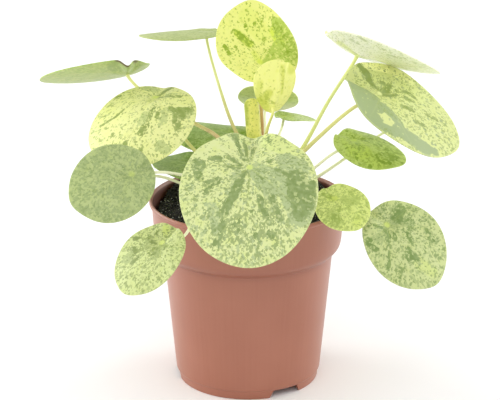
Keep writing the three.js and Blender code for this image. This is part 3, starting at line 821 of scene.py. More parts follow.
# %% Leaf looks
# Ground, warm and lime are the pale tints, mid is the grey-green, dark is for specks and back for
# the underside. A share is the chance that a cell has the colour, and coarse is added to it for
# the large cells. The other numbers tell how strongly a mark shows.
USUAL_LOOK = dict(
    ground="#e2eba4", warm="#d8e284", lime="#cedd6c", mid="#b4c38c", dark="#869c5c", back="#ccd69e",
    dark_share=0.3, coarse=-0.28, mid_share=0.2, streaks=0.5, veins=0.3, dot=0.8, show_through=0.25,
    pale_share=0.09)
LOOKS = {
    "front": dict(ground="#d5dd9c", warm="#ced97e", lime="#d4e47c", mid="#b0be88", dark="#829656",
        coarse=-0.42, streaks=0.4),
    "left_lower": dict(ground="#b0bd7f", warm="#aab870", mid="#99a970", dark="#86985c", dark_share=0.26,
        coarse=-0.5, mid_share=0.45, streaks=0.15, dot=0.4),
    "left_mid": dict(ground="#e1e59c", warm="#dfe38b", mid="#bcc782", dark="#8c9d52", dark_share=0.16,
        mid_share=0.12, streaks=0.3),
    "front_left": dict(ground="#c3cd8a", warm="#bbc676", mid="#a2af70", dark="#7a8a48", coarse=-0.36,
        dot=0.5),
    "right_low": dict(ground="#c3cc8e", warm="#bcc67c", mid="#a6b478", dark="#768e4c", dot=0.6,
        dark_share=0.27, coarse=-0.36, mid_share=0.24),
    "right_rim": dict(ground="#d8e38a", warm="#ccd976", mid="#b8c870", dark="#9cb056", dark_share=0.25,
        mid_share=0.35, streaks=0.25),
    # right_large's lime, which also tints its dot, is a bright cream: with its lime strokes it is painted
    # light on the corner that the right_top leaf shades.
    # right_large's mid is its own grey-green, made darker as painted shade on the near half that folds
    # down.
    "right_large": dict(ground="#cfd78e", warm="#cad27e", mid="#9bab78", dark="#8c9d50", lime="#feffba",
        dark_share=0.25, coarse=-0.3, mid_share=0.1, streaks=0.4, dot=0.3, pale_share=0.02),
    "right_mid": dict(ground="#becf74", warm="#b2c662", lime="#bcd060", mid="#a8bd5a", dark="#86a03a",
        back="#a0be5a", dark_share=0.12, coarse=0, mid_share=0.35, streaks=0.3, pale_share=0.03),
    "right_top": dict(back="#fdffea", mid="#f4f8d4", dark="#c4cd9c", lime="#e0ea92", dark_share=0.2,
        mid_share=0.3, streaks=0.3, show_through=0.75),
    "top_left": dict(ground="#b6c27c", warm="#b0bc72", mid="#aab870", dark="#96a65c", back="#b4c07c",
        dark_share=0.25, mid_share=0.4),
    "far_left": dict(ground="#acc870", warm="#a6c262", mid="#92b454", dark="#7d9846", lime="#c8d688",
        back="#b6c472", dark_share=0.26, mid_share=0.4, show_through=0.5),
    "back": dict(ground="#c2d08a", warm="#bcca7a", mid="#acbe70", dark="#98b060", back="#d2dd94",
        dark_share=0.25),
    "back_right": dict(ground="#c8d88c", warm="#c0d280", mid="#b0c470", dark="#94ac5c", back="#b8c880"),
    "top": dict(ground="#e4e884", warm="#e0e274", lime="#d0e050", mid="#b4c854", dark="#8ea828",
        dark_share=0.14, mid_share=0.06, streaks=0.25, veins=0.1, pale_share=0.17),
    "young_cupped": dict(ground="#eaeb8a", warm="#e6e880", lime="#c4ce48", mid="#e4e876",
        dark="#aab840", back="#eaec8c", dark_share=0.04, mid_share=0.15, streaks=0.2, veins=0.1,
        show_through=0.7),
    "young_rolled": dict(ground="#eae886", warm="#dede6e", mid="#d6d864", dark="#9eae32",
        lime="#a8b83e", back="#e8e77c", dark_share=0.16, streaks=0.8, show_through=0.7),
    "back_left": dict(ground="#a5bc68", warm="#9cb458", mid="#8ea84c", dark="#7c9a3a", mid_share=0.5),
    "left_small": dict(ground="#9eb468", warm="#96ae5c", mid="#8aa250", dark="#74903e", mid_share=0.5),
}
print(len(LOOKS), "leaves with a look of their own")

# %% Leaf material


def leaf_material(name):
    look = USUAL_LOOK | LOOKS.get(name, {}) | {"seed": list(LEAVES).index(name) + 1}
    material, tree, shader = new_material(
        f"leaf {name}", Roughness=0.42, Specular_IOR_Level=0.28, Subsurface_Weight=0.12,
        Subsurface_Radius=(0.8, 1.0, 0.3), Subsurface_Scale=1.5 * MM)
    group = add_node(tree, "ShaderNodeGroup", {"node_tree": PATTERN})
    for label in PATTERN_COLOURS:
        group.inputs[label].default_value = seen(look[label.lower()])
    for label in PATTERN_NUMBERS:
        group.inputs[label].default_value = look[label.lower().replace(" ", "_")]
    finish_shader(tree, shader, Flow(group.outputs["Colour"]), Flow(group.outputs["Height"]), 0.08)
    return material


print("a leaf's colours can be mixed")

# %% [markdown]
# ## Patches
#
# Some patches are too large and too well placed to be left to chance: the dark wedge in the
# crease of the front leaf, or the green half of the large right leaf, which is also painted shade
# where that half folds down. Each is a short brush stroke on the flat leaf: across and along where
# it starts, across and along where it ends, its half width, and its strength if that isn't 1. One
# with a strength below 0 takes colour away. The strokes are stored on the mesh as the chance that a
# cell is dark or grey-green, and as tints of lime and of dry brown. On the large right leaf the lime
# tint is painted light, over the corner that the leaf above it shades.

# %% Strokes, in millimetres
STROKES = {
    "front": {
        "dark": [(9.5, -22, 7, -15, 1.5), (7, -15, 3.5, -5, 1.3), (3.4, -18, 1.5, -5, 1.4),
            (-1.5, -16, -0.5, -5, 1.1), (13.5, 2, 6, 1.5, 1.1), (13, -5, 5, -1.5, 1.2),
            (21, -3, 18, -2.5, 2.2), (30, -1, 27.5, 1, 2.8), (29, 3, 28, 10, 2.2),
            (23, 14, 18, 12, 2.4), (24, 19, 22, 17, 1.6), (2, 4, 5, 12, 1.5), (5, 12, 9, 22, 2.4),
            (9, 22, 13, 30, 2.2), (13, 30, 14, 40, 1.6, 0.8), (-27, 8, -29, 30, 4.5),
            (-34, 12, -34, 26, 3.2), (-23, 7, -24, 20, 2), (-6, 22, -10, 32, 1.7),
            (-13, 22, -18, 34, 1.7), (-15, 4, -21, 6, 0.9), (-12, -3, -10.5, -2, 1.1),
            (-9, -21, -10, -17, 1.2), (-5, 45, 5, 48, 16, 0.14), (-15, 38, 15, 38, 9, 0.1),
            (12, -14, 30, -8, 6, -0.2), (-10, -14, -22, -10, 6, -0.12), (6, -19, 2.2, -4, 0.5, -1.2),
            (1, -17, 0.4, -4, 0.5, -1.2), (-4, -15, -1.5, -3, 0.6, -1.2), (10, -9, 3, -2, 0.4, -0.8),
            (-9, -7, -2.5, -1, 0.5, -0.8), (0, 6, 0.2, 17, 0.3, 0.9), (-1.6, 4, -1.8, 14, 0.3, -1),
            (1.4, 4, 1.9, 13, 0.3, -1), (-5, 3, -11, 6, 0.3, 0.8), (-4, 6, -9, 12, 0.3, 0.8),
            (5, -0.5, 10, 0.5, 0.3, 0.8)],
        "mid": [(-4, 3, -18, 14, 5.5, 0.8), (-4, 6, -12, 20, 3.5, 0.7), (-19, -4, -29, 2, 4.5, 0.7),
            (6, 8, 8, 20, 3.4, 0.6), (20, 28, 17, 40, 3.2, 0.6), (-20, 8, -30, 30, 8),
            (15, -13, 30, -8, 6, -0.6), (-8, -18, -18, -12, 5, -0.4)],
        "lime": [(-0.5, 4, 0.5, 1, 0.8, 0.9), (-12, -18, -24, -12, 7, 0.35)],
    },
    "right_large": {
        "dark": [(-12, -18, -10, -13, 2.6), (-9.5, -13, -6.5, -9.5, 2), (-6.5, -9.5, -3, -4.5, 1.6),
            (-3, 0.5, -6, 3, 2.4), (-8, 2, -11, 3, 1.9), (-10, -2, -10.5, -0.5, 1.4),
            (0.5, 1.5, -3, 6, 0.9), (-3, 6, -7.5, 9.5, 1.2), (-11.5, 8.5, -12, 9.5, 1),
            (-16, 12, -17, 14, 1.5), (-18, 17, -17, 21, 1.5), (-10, 14.5, -12, 20, 1.6),
            (0, 16, -2, 21, 1.5, 0.9), (6, 26, 4, 32, 1.3, 0.7), (-8, 32, -10, 38, 1.5, 0.6),
            (8, -20, 30, 0, 9, -0.6), (25, 4, 22, 44, 6, -0.6), (-18, -20, -28, 2, 7, -0.17),
            (-20, 20, -22, 44, 9, -0.12)],
        # painted light: these lime strokes brighten the upper corner that the right_top leaf shades
        "lime": [(-16, -24, -26, -8, 7, 0.9), (-26, -8, -32, 12, 5, 0.6)],
        # the grey-green near half: the leaf's own grey-green, made darker as painted shade where this half
        # folds down
        "mid": [(13, -18, 20, -2, 8), (25, -12, 30, 0, 7), (8, -16, 9, -2, 3.6), (4, -28, 16, -26, 6),
            (22, -22, 30, -16, 6), (33, -5, 33, 10, 3.5), (30, 6, 32, 16, 3.5), (23, 18, 21, 44, 3.2),
            (28, 18, 26, 38, 4.5), (13, 1, 19, 18, 3, 0.9), (11, 4, 14, 14, 1.4, 0.8),
            (23.5, 3, 22.5, 6, 0.7, -1.2), (28, 9, 26.5, 13, 0.8, -1.2), (24, 9, 25, 10, 0.3, -1),
            (3, -19, 1, -4, 2, -0.6), (18, -24, 24, -14, 5), (14, -22, 20, -20, 4, 0.8)],
    },
    "top": {
        "dark": [(-12.5, 19.5, -9, 15.5, 1.7), (-9, 15.5, -4.5, 11, 2.4), (6, 28, 5, 23, 0.8),
            (5.5, 14, 3.5, 11, 0.9), (-5.5, 22.5, -5, 21.5, 0.9), (0.5, 24.5, 0.3, 23, 0.8),
            (3.5, 27, 3.3, 26, 0.8), (9.5, 22, 9.5, 21, 0.7), (-14, 9, -13.5, 7.5, 0.8),
            (-21, 10.5, -20, 9, 1.1), (-19.5, 7, -19, 5, 0.8), (15, 23, 17, 16, 3, 0.25),
            (20, 15, 21, 4, 4, 0.4)],
        "mid": [(15, 25, 16, 14, 3.2), (20, 24, 22, 4, 5), (14, 8, 20, 1, 5), (9.5, 7, 3, -1.5, 2.2),
            (11, 2, 8, -3, 2.6)],
        "lime": [(13, 19, 14.5, 13, 3.6), (-11, 18, -5, 11, 2.4), (-3, 5, -1, 1, 2, 0.5),
            (-3, 28, 4, 18, 6, 0.25)],
    },
    "left_mid": {
        "dark": [(-0.5, -1.5, -3, -5.5, 1.3), (-3, -5.5, -6, -9.3, 1.3), (-3, 1, -8, 1.5, 0.9),
            (-8, 1.5, -17, 0.5, 0.8, 0.9), (-9, -1.5, -12, -1, 0.7, 0.8), (-15.5, 11.5, -21, 14, 1.5),
            (-21, 13, -28, 10, 2.4), (-24, 13, -26, 16, 2), (-21, 14, -23, 20, 1.4),
            (-23, 20, -27.5, 26, 2), (-5, 12, -7, 24, 1.2), (-6.5, 29, -6, 33, 2.2),
            (-10, 17, -11, 21, 1.1), (14, 17, 17, 22, 0.9), (17, 22, 25, 28, 0.8),
            (13.5, 35, 13, 36, 1.1), (27, 10.5, 26, 10, 1.1), (26, 3, 24, 2.5, 1.1),
            (17, 1, 16, 0.5, 0.9), (2, 41, 1, 43, 1.3), (-9, 43, -9.5, 45, 1.2)],
        "mid": [(-3, 20, -3, 26, 3, 0.6), (-14, 14, -16, 24, 2.6, 0.5), (-20, 38, -24, 40, 3, 0.8),
            (-22, 14, -27, 13, 4, 0.7), (3, -7, 10, -6, 2.4, 0.6)],
        "lime": [(0, 1, 0, 6, 2.4, 0.5)],
    },
    "right_low": {
        "dark": [(-14, -1.5, -7.5, -0.5, 3.2), (-9, 2.5, -8, 3.5, 1.8), (-9.5, 5, -13.5, 7, 1),
            (7.5, -4, 5, -1, 1.2), (3.5, 1.5, 6, 5, 1.6), (6, 5, 10, 8.5, 1.3),
            (10, 8.5, 17.5, 17, 0.8, 0.9), (19, 18, 21, 20, 1.2, 0.8), (18.5, 0.5, 20.5, 1.5, 2),
            (20, 4, 19, 7.5, 1.6), (2, 7, 4, 9.5, 1.1, 0.9), (-5, 12.5, -3, 17, 1.3),
            (-8, 10, -10, 12, 0.9, 0.9), (2, 19, 3, 24, 1.7, 0.5), (6, 24, 1, 26, 2, 0.5),
            (-17, 18, -18.5, 21, 1.4), (-15, 23, -16.5, 26, 1.2, 0.9), (-11, 33, -13, 35, 1, 0.9),
            (15, 25, 18, 28, 1.3, 0.6)],
        "mid": [(-4, 2, -12, 8, 3.2, 0.6), (15, 2, 10, 4, 3, 0.5)],
        "lime": [(2, 30, -2, 38, 4, 0.3)],
    },
    "front_left": {
        "dark": [(18, 5, 15, 3, 1.1), (11, -1, 9, 0.5, 0.8), (7, -4.5, 6.8, -3, 0.8),
            (11, -6, 11, -5, 0.8), (6, 3, 3, 2.5, 0.7), (14, 11, 11, 12, 1.1), (11, 12, 8.5, 10, 1.1),
            (7, 16, 8, 18, 1.6, 0.8), (-2, -8, -2, -5, 0.8, 0.9), (-1, -4, -1, -2, 0.9),
            (-4, 1, -6, 2, 1.4, 0.8), (0, 6, -2, 9, 1.6, 0.7)],
        "mid": [(13, 15, 14, 18, 3, 0.8), (8, 2, 6, 6, 3, 0.5), (-3, 3, -5, 8, 3, 0.6)],
        "lime": [(4, -9, 2, -6, 2, 0.5)],
    },
    "right_rim": {
        "dark": [(5.5, -4, 1.5, -1, 1.3, 0.8), (8, 12, 9, 16, 2.2, 0.5), (2, 7, 3, 10, 1.4, 0.5)],
        "mid": [(-4, 5, -8, 8, 3, 0.5), (8, 11, 9, 16, 3.5, 0.6)],
        "lime": [(0, 1, 3, 0, 1.6, 0.8), (-3, 20, -1, 23, 2.4, 0.5)],
    },
    "right_top": {
        "dark": [(15, -10, 16, -7, 1.8, 0.8), (25, -10, 26, -6, 1.6, 0.8), (27, 2, 28, 6, 1.3, 0.7),
            (25, 14, 26, 17, 1.6, 0.7), (28, 17, 28, 20, 1.2, 0.6), (27, 26, 27, 29, 1.2, 0.6)],
        "lime": [(3, -14, 2, -2, 2, 0.8), (2, -2, 3, 14, 1.6, 0.7), (3, 14, 6, 30, 1.4, 0.5)],
    },
    "far_left": {
        "dark": [(-20, 0, -12, 3, 4, 0.5)],
        "brown": [(-23, -4, -18, -8, 1.2), (-13, -10.5, -10, -11, 1, 0.9)],
    },
    "young_cupped": {
        "dark": [(4, 6, 4, 7.5, 0.9, 0.9), (0.5, 4.5, -0.5, 4.5, 0.7, 0.9),
            (-3, 27, -4.2, 12, 0.5, 0.7), (6, 3, 8, 9, 0.4, 0.7), (4, 3, 5.5, 11, 0.4, 0.7),
            (2, 3, 3, 10, 0.4, 0.6), (7.5, 12, 8, 16, 0.5, 0.6)],
        "lime": [(8, 2, 5, 1, 3.5, 0.9), (6, 5, 3, 10, 2.5, 0.8), (9, 6, 9, 16, 1.8, 0.5),
            (-9, 24, -9, 28, 2.5, 0.7), (-3, 28, -4.3, 10, 0.7, 0.9)],
    },
    "young_rolled": {
        "dark": [(3.2, 24, 3.6, 19, 0.7, 0.9), (4.4, 18, 4.2, 12, 0.6, 0.8)],
        "lime": [(3.4, 25, 3.8, 12, 1.4, 0.9), (2, 5, -1, 2, 2, 0.5)],
    },
    "right_mid": {
        "lime": [(6, 2, 10, 10, 7, 0.9), (14, 8, 12, 24, 5, 0.7)],
        "dark": [(-6, 6, -6, 26, 5, 0.25), (0, 26, 6, 24, 5, 0.3)],
    },
}
print(sum(len(strokes) for kinds in STROKES.values() for strokes in kinds.values()), "strokes")

# %% Painting the strokes
STROKE_EDGE = 1.6
STROKE_KINDS = ("dark", "mid", "lime", "brown")


def stroke_amount(point, strokes):
    """How strongly the strokes cover a point of the flat leaf."""
    amount = 0.0
    for *ends, half_width, strength in strokes:
        start, end = Vector(ends[:2]), Vector(ends[2:])
        run = end - start
        share = max(0.0, min(1.0, (point - start).dot(run) / run.length_squared))
        gap = (point - start - run * share).length - half_width
        amount += strength * max(0.0, min(1.0, 0.5 - gap / STROKE_EDGE))
    return amount


def store_strokes(mesh, name):
    plan = [Vector(item.vector).to_2d() for item in mesh.attributes["plan"].data]
    for kind in STROKE_KINDS:
        strokes = [(*stroke, 1)[:6] for stroke in STROKES.get(name, {}).get(kind, [])]
        layer = mesh.attributes.new(kind, "FLOAT", "POINT")
        if strokes:
            layer.data.foreach_set("value", [stroke_amount(point, strokes) for point in plan])


print(", ".join(STROKE_KINDS), "can be painted")

# %% Grow every blade
PLAIN_GRID = (57, 121)
PAINTED_GRID = (97, 221)


def grow_blade(name, leaf):
    rows, columns = PAINTED_GRID if name in STROKES else PLAIN_GRID
    across, tip, up = blade_axes(leaf)
    settings = {label: float(leaf[key]) for label, key in FORM_NUMBERS.items()}
    settings |= {"Size": float(leaf["size"]), "Phase": float(leaf["at"][0]),
                 "Thickness": float(leaf["thickness"]), "Seed": float(list(LEAVES).index(name)),
                 "Stalk Point": leaf["at"], "Across": across, "Tip": tip, "Up": up,
                 "Rows": rows, "Columns": columns, "Material": leaf_material(name)}
    holder = add_object(f"leaf_{name}", bpy.data.meshes.new(name))
    mesh = grow(holder, BLADE, settings)
    store_strokes(mesh, name)
    return place(f"leaf_{name}", mesh, f"blade_{name}")


blades = [grow_blade(name, leaf) for name, leaf in LEAVES.items()]
print(sum(len(blade.data.polygons) for blade in blades), "faces in the blades")

# %% Stalk and stem materials
STEM_RINGS = 7


def stalk_material(name, foot, top):
    material, tree, shader = new_material(name, Roughness=0.4, Specular_IOR_Level=0.4)
    where = object_place(tree)
    along = attribute(tree, "along")
    blotch = noise(where, 0.25, 3.0)
    colour = mixed(tree, eased(along + blotch * 0.25, 0.1, 0.75), foot, top)
    threads = noise(where * joined(tree, 2.2, 2.2, 0.25), 1.0, 3.0)
    colour = mixed(tree, eased(threads, -0.05, 0.3) * 0.25, colour, "#eceeb4")
    finish_shader(tree, shader, colour, threads, 0.12)
    return material


def stem_material():
    material, tree, shader = new_material("stem skin", Roughness=0.6)
    where = object_place(tree)
    along = attribute(tree, "along")
    patches = noise(where, 0.4, 4.0)
    colour = mixed(tree, eased(along + patches * 0.3, 0.35, 0.8), "#706242", "#969c58")
    scars = bell(calculate("FRACT", along * STEM_RINGS + 0.5) - 0.5, 0.1)
    colour = mixed(tree, scars * 0.7, colour, "#54422e")
    finish_shader(tree, shader, colour, patches + noise(where, 2.0, 3.0) * 0.4, 0.3)
    return material


PALE_STALK = ("#fafcd4", "#fafcd4")
STALK_COLOURS = {  # at the stem and at the blade
    "right_top": ("#d6dc7c", "#e0e692"),
    "right_large": ("#ccc67a", "#e0de8c"),
    "top_left": ("#c4b670", "#e4e89c"),
    "far_left": ("#cda882", "#f0f2a0"),
    "top": ("#cd9c6c", "#dec482"),
    "young_cupped": ("#ceca74", "#eeee8c"),
    "left_mid": ("#ccc67a", "#e2e28c"),
    "right_mid": ("#f6f8c4", "#fcfdd6"),
}
print(len(STALK_COLOURS), "stalks with colours of their own")

# %% Grow the stalks and the stem
STALK_LEAF_SIZE = 34  # size of the leaf whose stalk has just these radii
STALK_BOUNDS = (0.85, 1.1)
STALK_STEPS = 14
NECK_LENGTH = 5
NECK_SHARE = 0.2  # of the leaf's size, for small leaves
HEAD_DEPTH = 0.4  # how deep the stalk ends in the blade, as a share of its thickness
STALK = {"Foot Radius": 1.5, "Top Radius": 1.0, "Flare": 0.5, "Swell": 0.35}
STALK_REST = {"Taper": 0.7, "Flare Length": 7.0, "Swell Length": 1.6, "Crown": 0.01, "Knobs": 0.1,
              "Spacing": 1.2, "Sides": 20}
STEM = {"Foot Radius": 4.6, "Top Radius": 3.2, "Taper": 1.0, "Flare": 0.0, "Flare Length": 1.0,
        "Swell": 0.0, "Swell Length": 1.0, "Rings": float(STEM_RINGS), "Ring Rise": 0.3,
        "Crown": 4.0, "Knobs": 0.5, "Seed": 3.0, "Spacing": 0.5, "Sides": 48}


def stem_point(height):
    for (x0, y0, z0), (x1, y1, z1) in zip(STEM_PATH, STEM_PATH[1:]):
        if height <= z1:
            share = (height - z0) / (z1 - z0)
            return Vector((x0 + (x1 - x0) * share, y0 + (y1 - y0) * share, height))
    return Vector(STEM_PATH[-1])


def grow_stalk(name, leaf):
    _, _, up = blade_axes(leaf)
    end = Vector(leaf["at"])
    neck = end - up * leaf["neck"] * min(NECK_LENGTH, NECK_SHARE * leaf["size"])
    head = end - up * HEAD_DEPTH * leaf["thickness"]
    path = smooth_path([stem_point(leaf["node"]), *leaf["via"], neck, head], STALK_STEPS)
    stoutness = max(STALK_BOUNDS[0], min(STALK_BOUNDS[1], leaf["size"] / STALK_LEAF_SIZE))
    colours = STALK_COLOURS.get(name, PALE_STALK)
    settings = {label: stoutness * value for label, value in STALK.items()} | STALK_REST
    settings |= {"Seed": float(list(LEAVES).index(name)),
                 "Material": stalk_material(f"stalk {name}", *colours)}
    mesh = grow(path_holder(f"petiole_{name}", path), ROD, settings)
    return place(f"petiole_{name}", mesh, f"stalk_{name}")


stalks = [grow_stalk(name, leaf) for name, leaf in LEAVES.items()]
stem_mesh = grow(path_holder("stem", stem_path), ROD, STEM | {"Material": stem_material()})
place("stem", stem_mesh, "main_stem")
print(len(stalks), "stalks and a stem")

# %% [markdown]
# ## The pot
#
# The pot is one thin plastic moulding: a shell turned about its axis, with a soft lip, a deep
# collar, a tapering body and a foot ring. Its profile is drawn once as corners with a radius
# each, and turned. The three drainage notches are then cut through the foot ring.

# %% Pot profile, each corner as radius, height and rounding
COLLAR_FOOT = (57, 91)
COLLAR_TOP = (58.3, 111.3)
POT_PROFILE = [
    (0, 0, 0), (22, 0, 1.0), (24.5, 5.2, 1.0), (40.4, 5.2, 0.8), (41.2, 0, 0.5), (42.8, 0, 0.5),
    (43.6, 5.2, 0.3), (44.4, 6, 0.6), (51.6, 82, 3.0), (53.6, 83.4, 2.0), (56.2, 86.4, 4.0),
    (*COLLAR_FOOT, 3.0), (*COLLAR_TOP, 0.5), (59.6, 111.6, 0.5), (60, 112.8, 0.5), (59.6, 114.3, 0.4),
    (58.7, 114.3, 0.3), (57.1, 111.3, 1.0), (55.8, 91, 3.0), (54.6, 86.5, 3.0), (50.4, 82.6, 3.0),
    (43.2, 6.8, 1.5), (26, 6.4, 1.0), (22.5, 1.2, 1.0), (0, 1.2, 0),
]
ARC_STEPS = 4


def rounded(corners):
    """The points of a profile whose corners are rounded."""
    points = []
    for before, corner, after in zip([None, *corners], corners, [*corners[1:], None]):
        middle = Vector(corner[:2])
        if before is None or after is None or not corner[2]:
            points.append(middle)
            continue
        back = Vector(before[:2]) - middle
        ahead = Vector(after[:2]) - middle
        cut = min(corner[2], 0.45 * back.length, 0.45 * ahead.length)
        start = middle + back.normalized() * cut
        end = middle + ahead.normalized() * cut
        for step in range(ARC_STEPS + 1):
            t = step / ARC_STEPS
            points.append(start * (1 - t) ** 2 + middle * 2 * t * (1 - t) + end * t ** 2)
    return points


pot_profile = rounded(POT_PROFILE)
print("pot profile with", len(pot_profile), "points")

# %% Turning a profile
ON_THE_AXIS = 1e-6


def finished_mesh(name, shape):
    """A plain mesh from a bmesh, with its faces pointing outwards."""
    bmesh.ops.recalc_face_normals(shape, faces=shape.faces)
    mesh = bpy.data.meshes.new(name)
    shape.to_mesh(mesh)
    shape.free()
    return mesh


def turned(name, profile, sides):
    """A closed mesh from a profile that starts and ends on the axis."""
    shape = bmesh.new()
    rings = []
    for reach, height in profile:
        turns = [side * math.tau / sides for side in range(sides if reach > ON_THE_AXIS else 1)]
        rings.append([shape.verts.new(Vector((reach * math.cos(turn), reach * math.sin(turn), height)) * MM)
                      for turn in turns])
    for lower, upper in zip(rings, rings[1:]):
        for side in range(sides):
            corners = [lower[side % len(lower)], lower[(side + 1) % len(lower)],
                       upper[(side + 1) % len(upper)], upper[side % len(upper)]]
            shape.faces.new(list(dict.fromkeys(corners)))
    return finished_mesh(name, shape)


print("profiles can be turned")

# %% Drainage notches
NOTCHES = 3
FIRST_NOTCH = -58
NOTCH_WIDTH = 17
NOTCH_FLARE = 2.5
NOTCH_HEIGHT = 5
NOTCH_START = 39.6
NOTCH_DEPTH = 10
DRAIN_RADIUS = 3
DRAIN_LENGTH = 12
DRAIN_SIDES = 32
DRAIN_PLACE = (36.2, 0, 5.2)


def notch_cutter():
    """Blocks with slanting sides and drain holes, all in one mesh."""
    shape = bmesh.new()
    half = NOTCH_WIDTH / 2
    outline = [(-half - NOTCH_FLARE, -1), (half + NOTCH_FLARE, -1), (half, NOTCH_HEIGHT),
               (-half, NOTCH_HEIGHT)]
    for notch in range(NOTCHES):
        turn = Matrix.Rotation(math.radians(FIRST_NOTCH + notch * 360 / NOTCHES), 3, "Z")
        ends = [[shape.verts.new(turn @ Vector((reach, y, z)) * MM) for y, z in outline]
                for reach in (NOTCH_START, NOTCH_START + NOTCH_DEPTH)]
        shape.faces.new(ends[0])
        shape.faces.new(ends[1])
        for side in range(4):
            shape.faces.new([ends[0][side], ends[0][(side + 1) % 4], ends[1][(side + 1) % 4],
                             ends[1][side]])
        centre = Matrix.Translation(turn @ Vector(DRAIN_PLACE) * MM)
        bmesh.ops.create_cone(shape, cap_ends=True, segments=DRAIN_SIDES, radius1=DRAIN_RADIUS * MM,
                              radius2=DRAIN_RADIUS * MM, depth=DRAIN_LENGTH * MM, matrix=centre)
    return add_object("notch cutter", finished_mesh("notch cutter", shape))


print(NOTCHES, "notches")

# %% Pot material
POT_DARK = "#965841"
POT_LIGHT = "#ac6e57"
# painted shade: the dark red of the inner wall, which lies in the plant's shadow
POT_INSIDE_SHADE = "#542620"
# painted shade: the colour, height and spread of a soft darker band under the collar's step
POT_COLLAR_SHADE = "#804634"
COLLAR_SHADE_HEIGHT = 83.5
COLLAR_SHADE_SPREAD = 3.5
COLLAR_LEAN = 0.064  # how much wider the collar gets for each millimetre up
COLLAR_HEIGHT = 23.0
FLOW_STREAKS = 26.0
FLOW_SQUEEZE = 0.012  # draws the streaks of the plastic out upwards


def pot_material():
    material, tree, shader = new_material("terracotta plastic", Specular_IOR_Level=0.5,
                                          Coat_Weight=0.25, Coat_Roughness=0.4)
    where = object_place(tree)
    x, y, z = split(where)
    angle = calculate("ARCTAN2", y, x)
    streaks = joined(tree, sine(angle) * FLOW_STREAKS, cosine(angle) * FLOW_STREAKS, z * FLOW_SQUEEZE)
    flow = noise(streaks, 1.0, 4.0, 0.6)
    cloud = noise(where, 0.03, 2.0)
    colour = mixed(tree, limited(0.5 + flow * 0.35 + cloud * 0.6), POT_DARK, POT_LIGHT)
    # Painted shade: a soft darker band on the body just under the collar, where the collar's shadow falls.
    colour = mixed(tree, bell(z - COLLAR_SHADE_HEIGHT, COLLAR_SHADE_SPREAD) * 0.45, colour, POT_COLLAR_SHADE)
    reach = calculate("LENGTH", joined(tree, x, y, 0.0))
    wall = COLLAR_FOOT[0] + limited(z - COLLAR_FOOT[1], 0.0, COLLAR_HEIGHT) * COLLAR_LEAN
    # Painted shade: the inner wall below the lip is darkened as if in the plant's shadow, and it is also
    # made rougher.
    inside_shade = eased(wall - reach, 0.3, 0.8) * eased(z, 88.0, 92.0)
    colour = mixed(tree, inside_shade * 0.85, colour, POT_INSIDE_SHADE)
    finish_shader(tree, shader, colour, noise(where, 1.1, 3.0) * 0.5 + flow * 0.25, 0.05)
    plug(shader.inputs["Roughness"], 0.4 + flow * 0.06 + inside_shade * 0.45)
    return material


print("pot colours", POT_DARK, "to", POT_LIGHT)

# %% Turn and cut the pot
POT_SIDES = 256
SHARP_ANGLE = 40


def make_pot():
    shell = add_object("pot shell", turned("pot shell", pot_profile, POT_SIDES))
    cutter = notch_cutter()
    cut = shell.modifiers.new("notches", "BOOLEAN")
    cut.object = cutter
    cut.solver = "MANIFOLD"
    mesh = evaluated_mesh(shell)
    bpy.data.objects.remove(cutter)
    mesh.shade_smooth()
    mesh.set_sharp_from_angle(angle=math.radians(SHARP_ANGLE))
    mesh.materials.clear()
    mesh.materials.append(pot_material())
    return place("pot_shell", mesh, "pot")


print("pot with", len(make_pot().data.polygons), "faces")

# %% [markdown]
# ## The soil
#
# Potting soil is dark, crumbly peat with fibres and a few pale grains. The body is a solid that
# fills the pot: low at the stem, higher at the wall and heaped up at the back, with a finely
# uneven top. Crumbs, grains and fibres are then scattered over that top by one tree with a fixed
# seed, each of them a shape of twenty faces.

# %% Soil body
SOIL_TOP = 104
SOIL_RISE = 1.6
SOIL_BOWL = 2.5
SOIL_HEAP = 6.5
SOIL_HEAP_START = 12
SOIL_HEAP_END = 36
SOIL_REACH = 54.6
SOIL_WALL = [(0, 1.6), (22, 1.6), (26, 6.9), (42.7, 7.1), (50.0, 82.4), (54.1, 86.5), (55.4, 91),
             (56.1, 102.8)]
SOIL_SIDES = 192


def soil_height(x, y):
    """Height of the soil's surface: a bowl with low mounds, heaped up at the back."""
    mounds = math.sin(x / 11 + 1) * math.cos(y / 13) + 0.6 * math.sin((x - y) / 7)
    share = max(0, min(1, (y - SOIL_HEAP_START) / (SOIL_HEAP_END - SOIL_HEAP_START)))
    heap = SOIL_HEAP * share * share * (3 - 2 * share)
    bowl = SOIL_BOWL * (x * x + y * y) / SOIL_REACH ** 2
    return SOIL_TOP + 0.5 * SOIL_RISE * mounds + bowl + heap


def soil_material(name, dark, light, roughness):
    material, tree, shader = new_material(name, Roughness=roughness)
    where = object_place(tree)
    colour = mixed(tree, eased(noise(where, 0.8, 4.0), -0.1, 0.25), dark, light)
    finish_shader(tree, shader, colour, noise(where, 1.6, 4.0, 0.7), 0.8)
    return material


def make_soil():
    rings = [(radius, SOIL_TOP) for radius in [SOIL_REACH, *range(54, -1, -1)]]
    mesh = turned("soil body", [*SOIL_WALL, *rings], SOIL_SIDES)
    for vertex in mesh.vertices:
        if vertex.co.z > (SOIL_TOP - 0.5) * MM:
            vertex.co.z = soil_height(vertex.co.x / MM, vertex.co.y / MM) * MM
    mesh.shade_smooth()
    mesh.materials.append(soil_material("peat", "#181816", "#36342e", 0.9))
    return place("soil_body", mesh, "potting_soil")


soil = make_soil()
print("soil with", len(soil.data.polygons), "faces")

# %% Scatter tree
KEEP_FROM_STEM = 6.5
KEEP_IN_WALL = 54.5
KNOB_SIZE = 0.9


def random_value(tree, seed, low, high, kind="FLOAT"):
    node = add_node(tree, "FunctionNodeRandomValue", {"data_type": kind}, Min=low, Max=high, Seed=seed)
    return Flow(next(output for output in node.outputs if output.enabled))


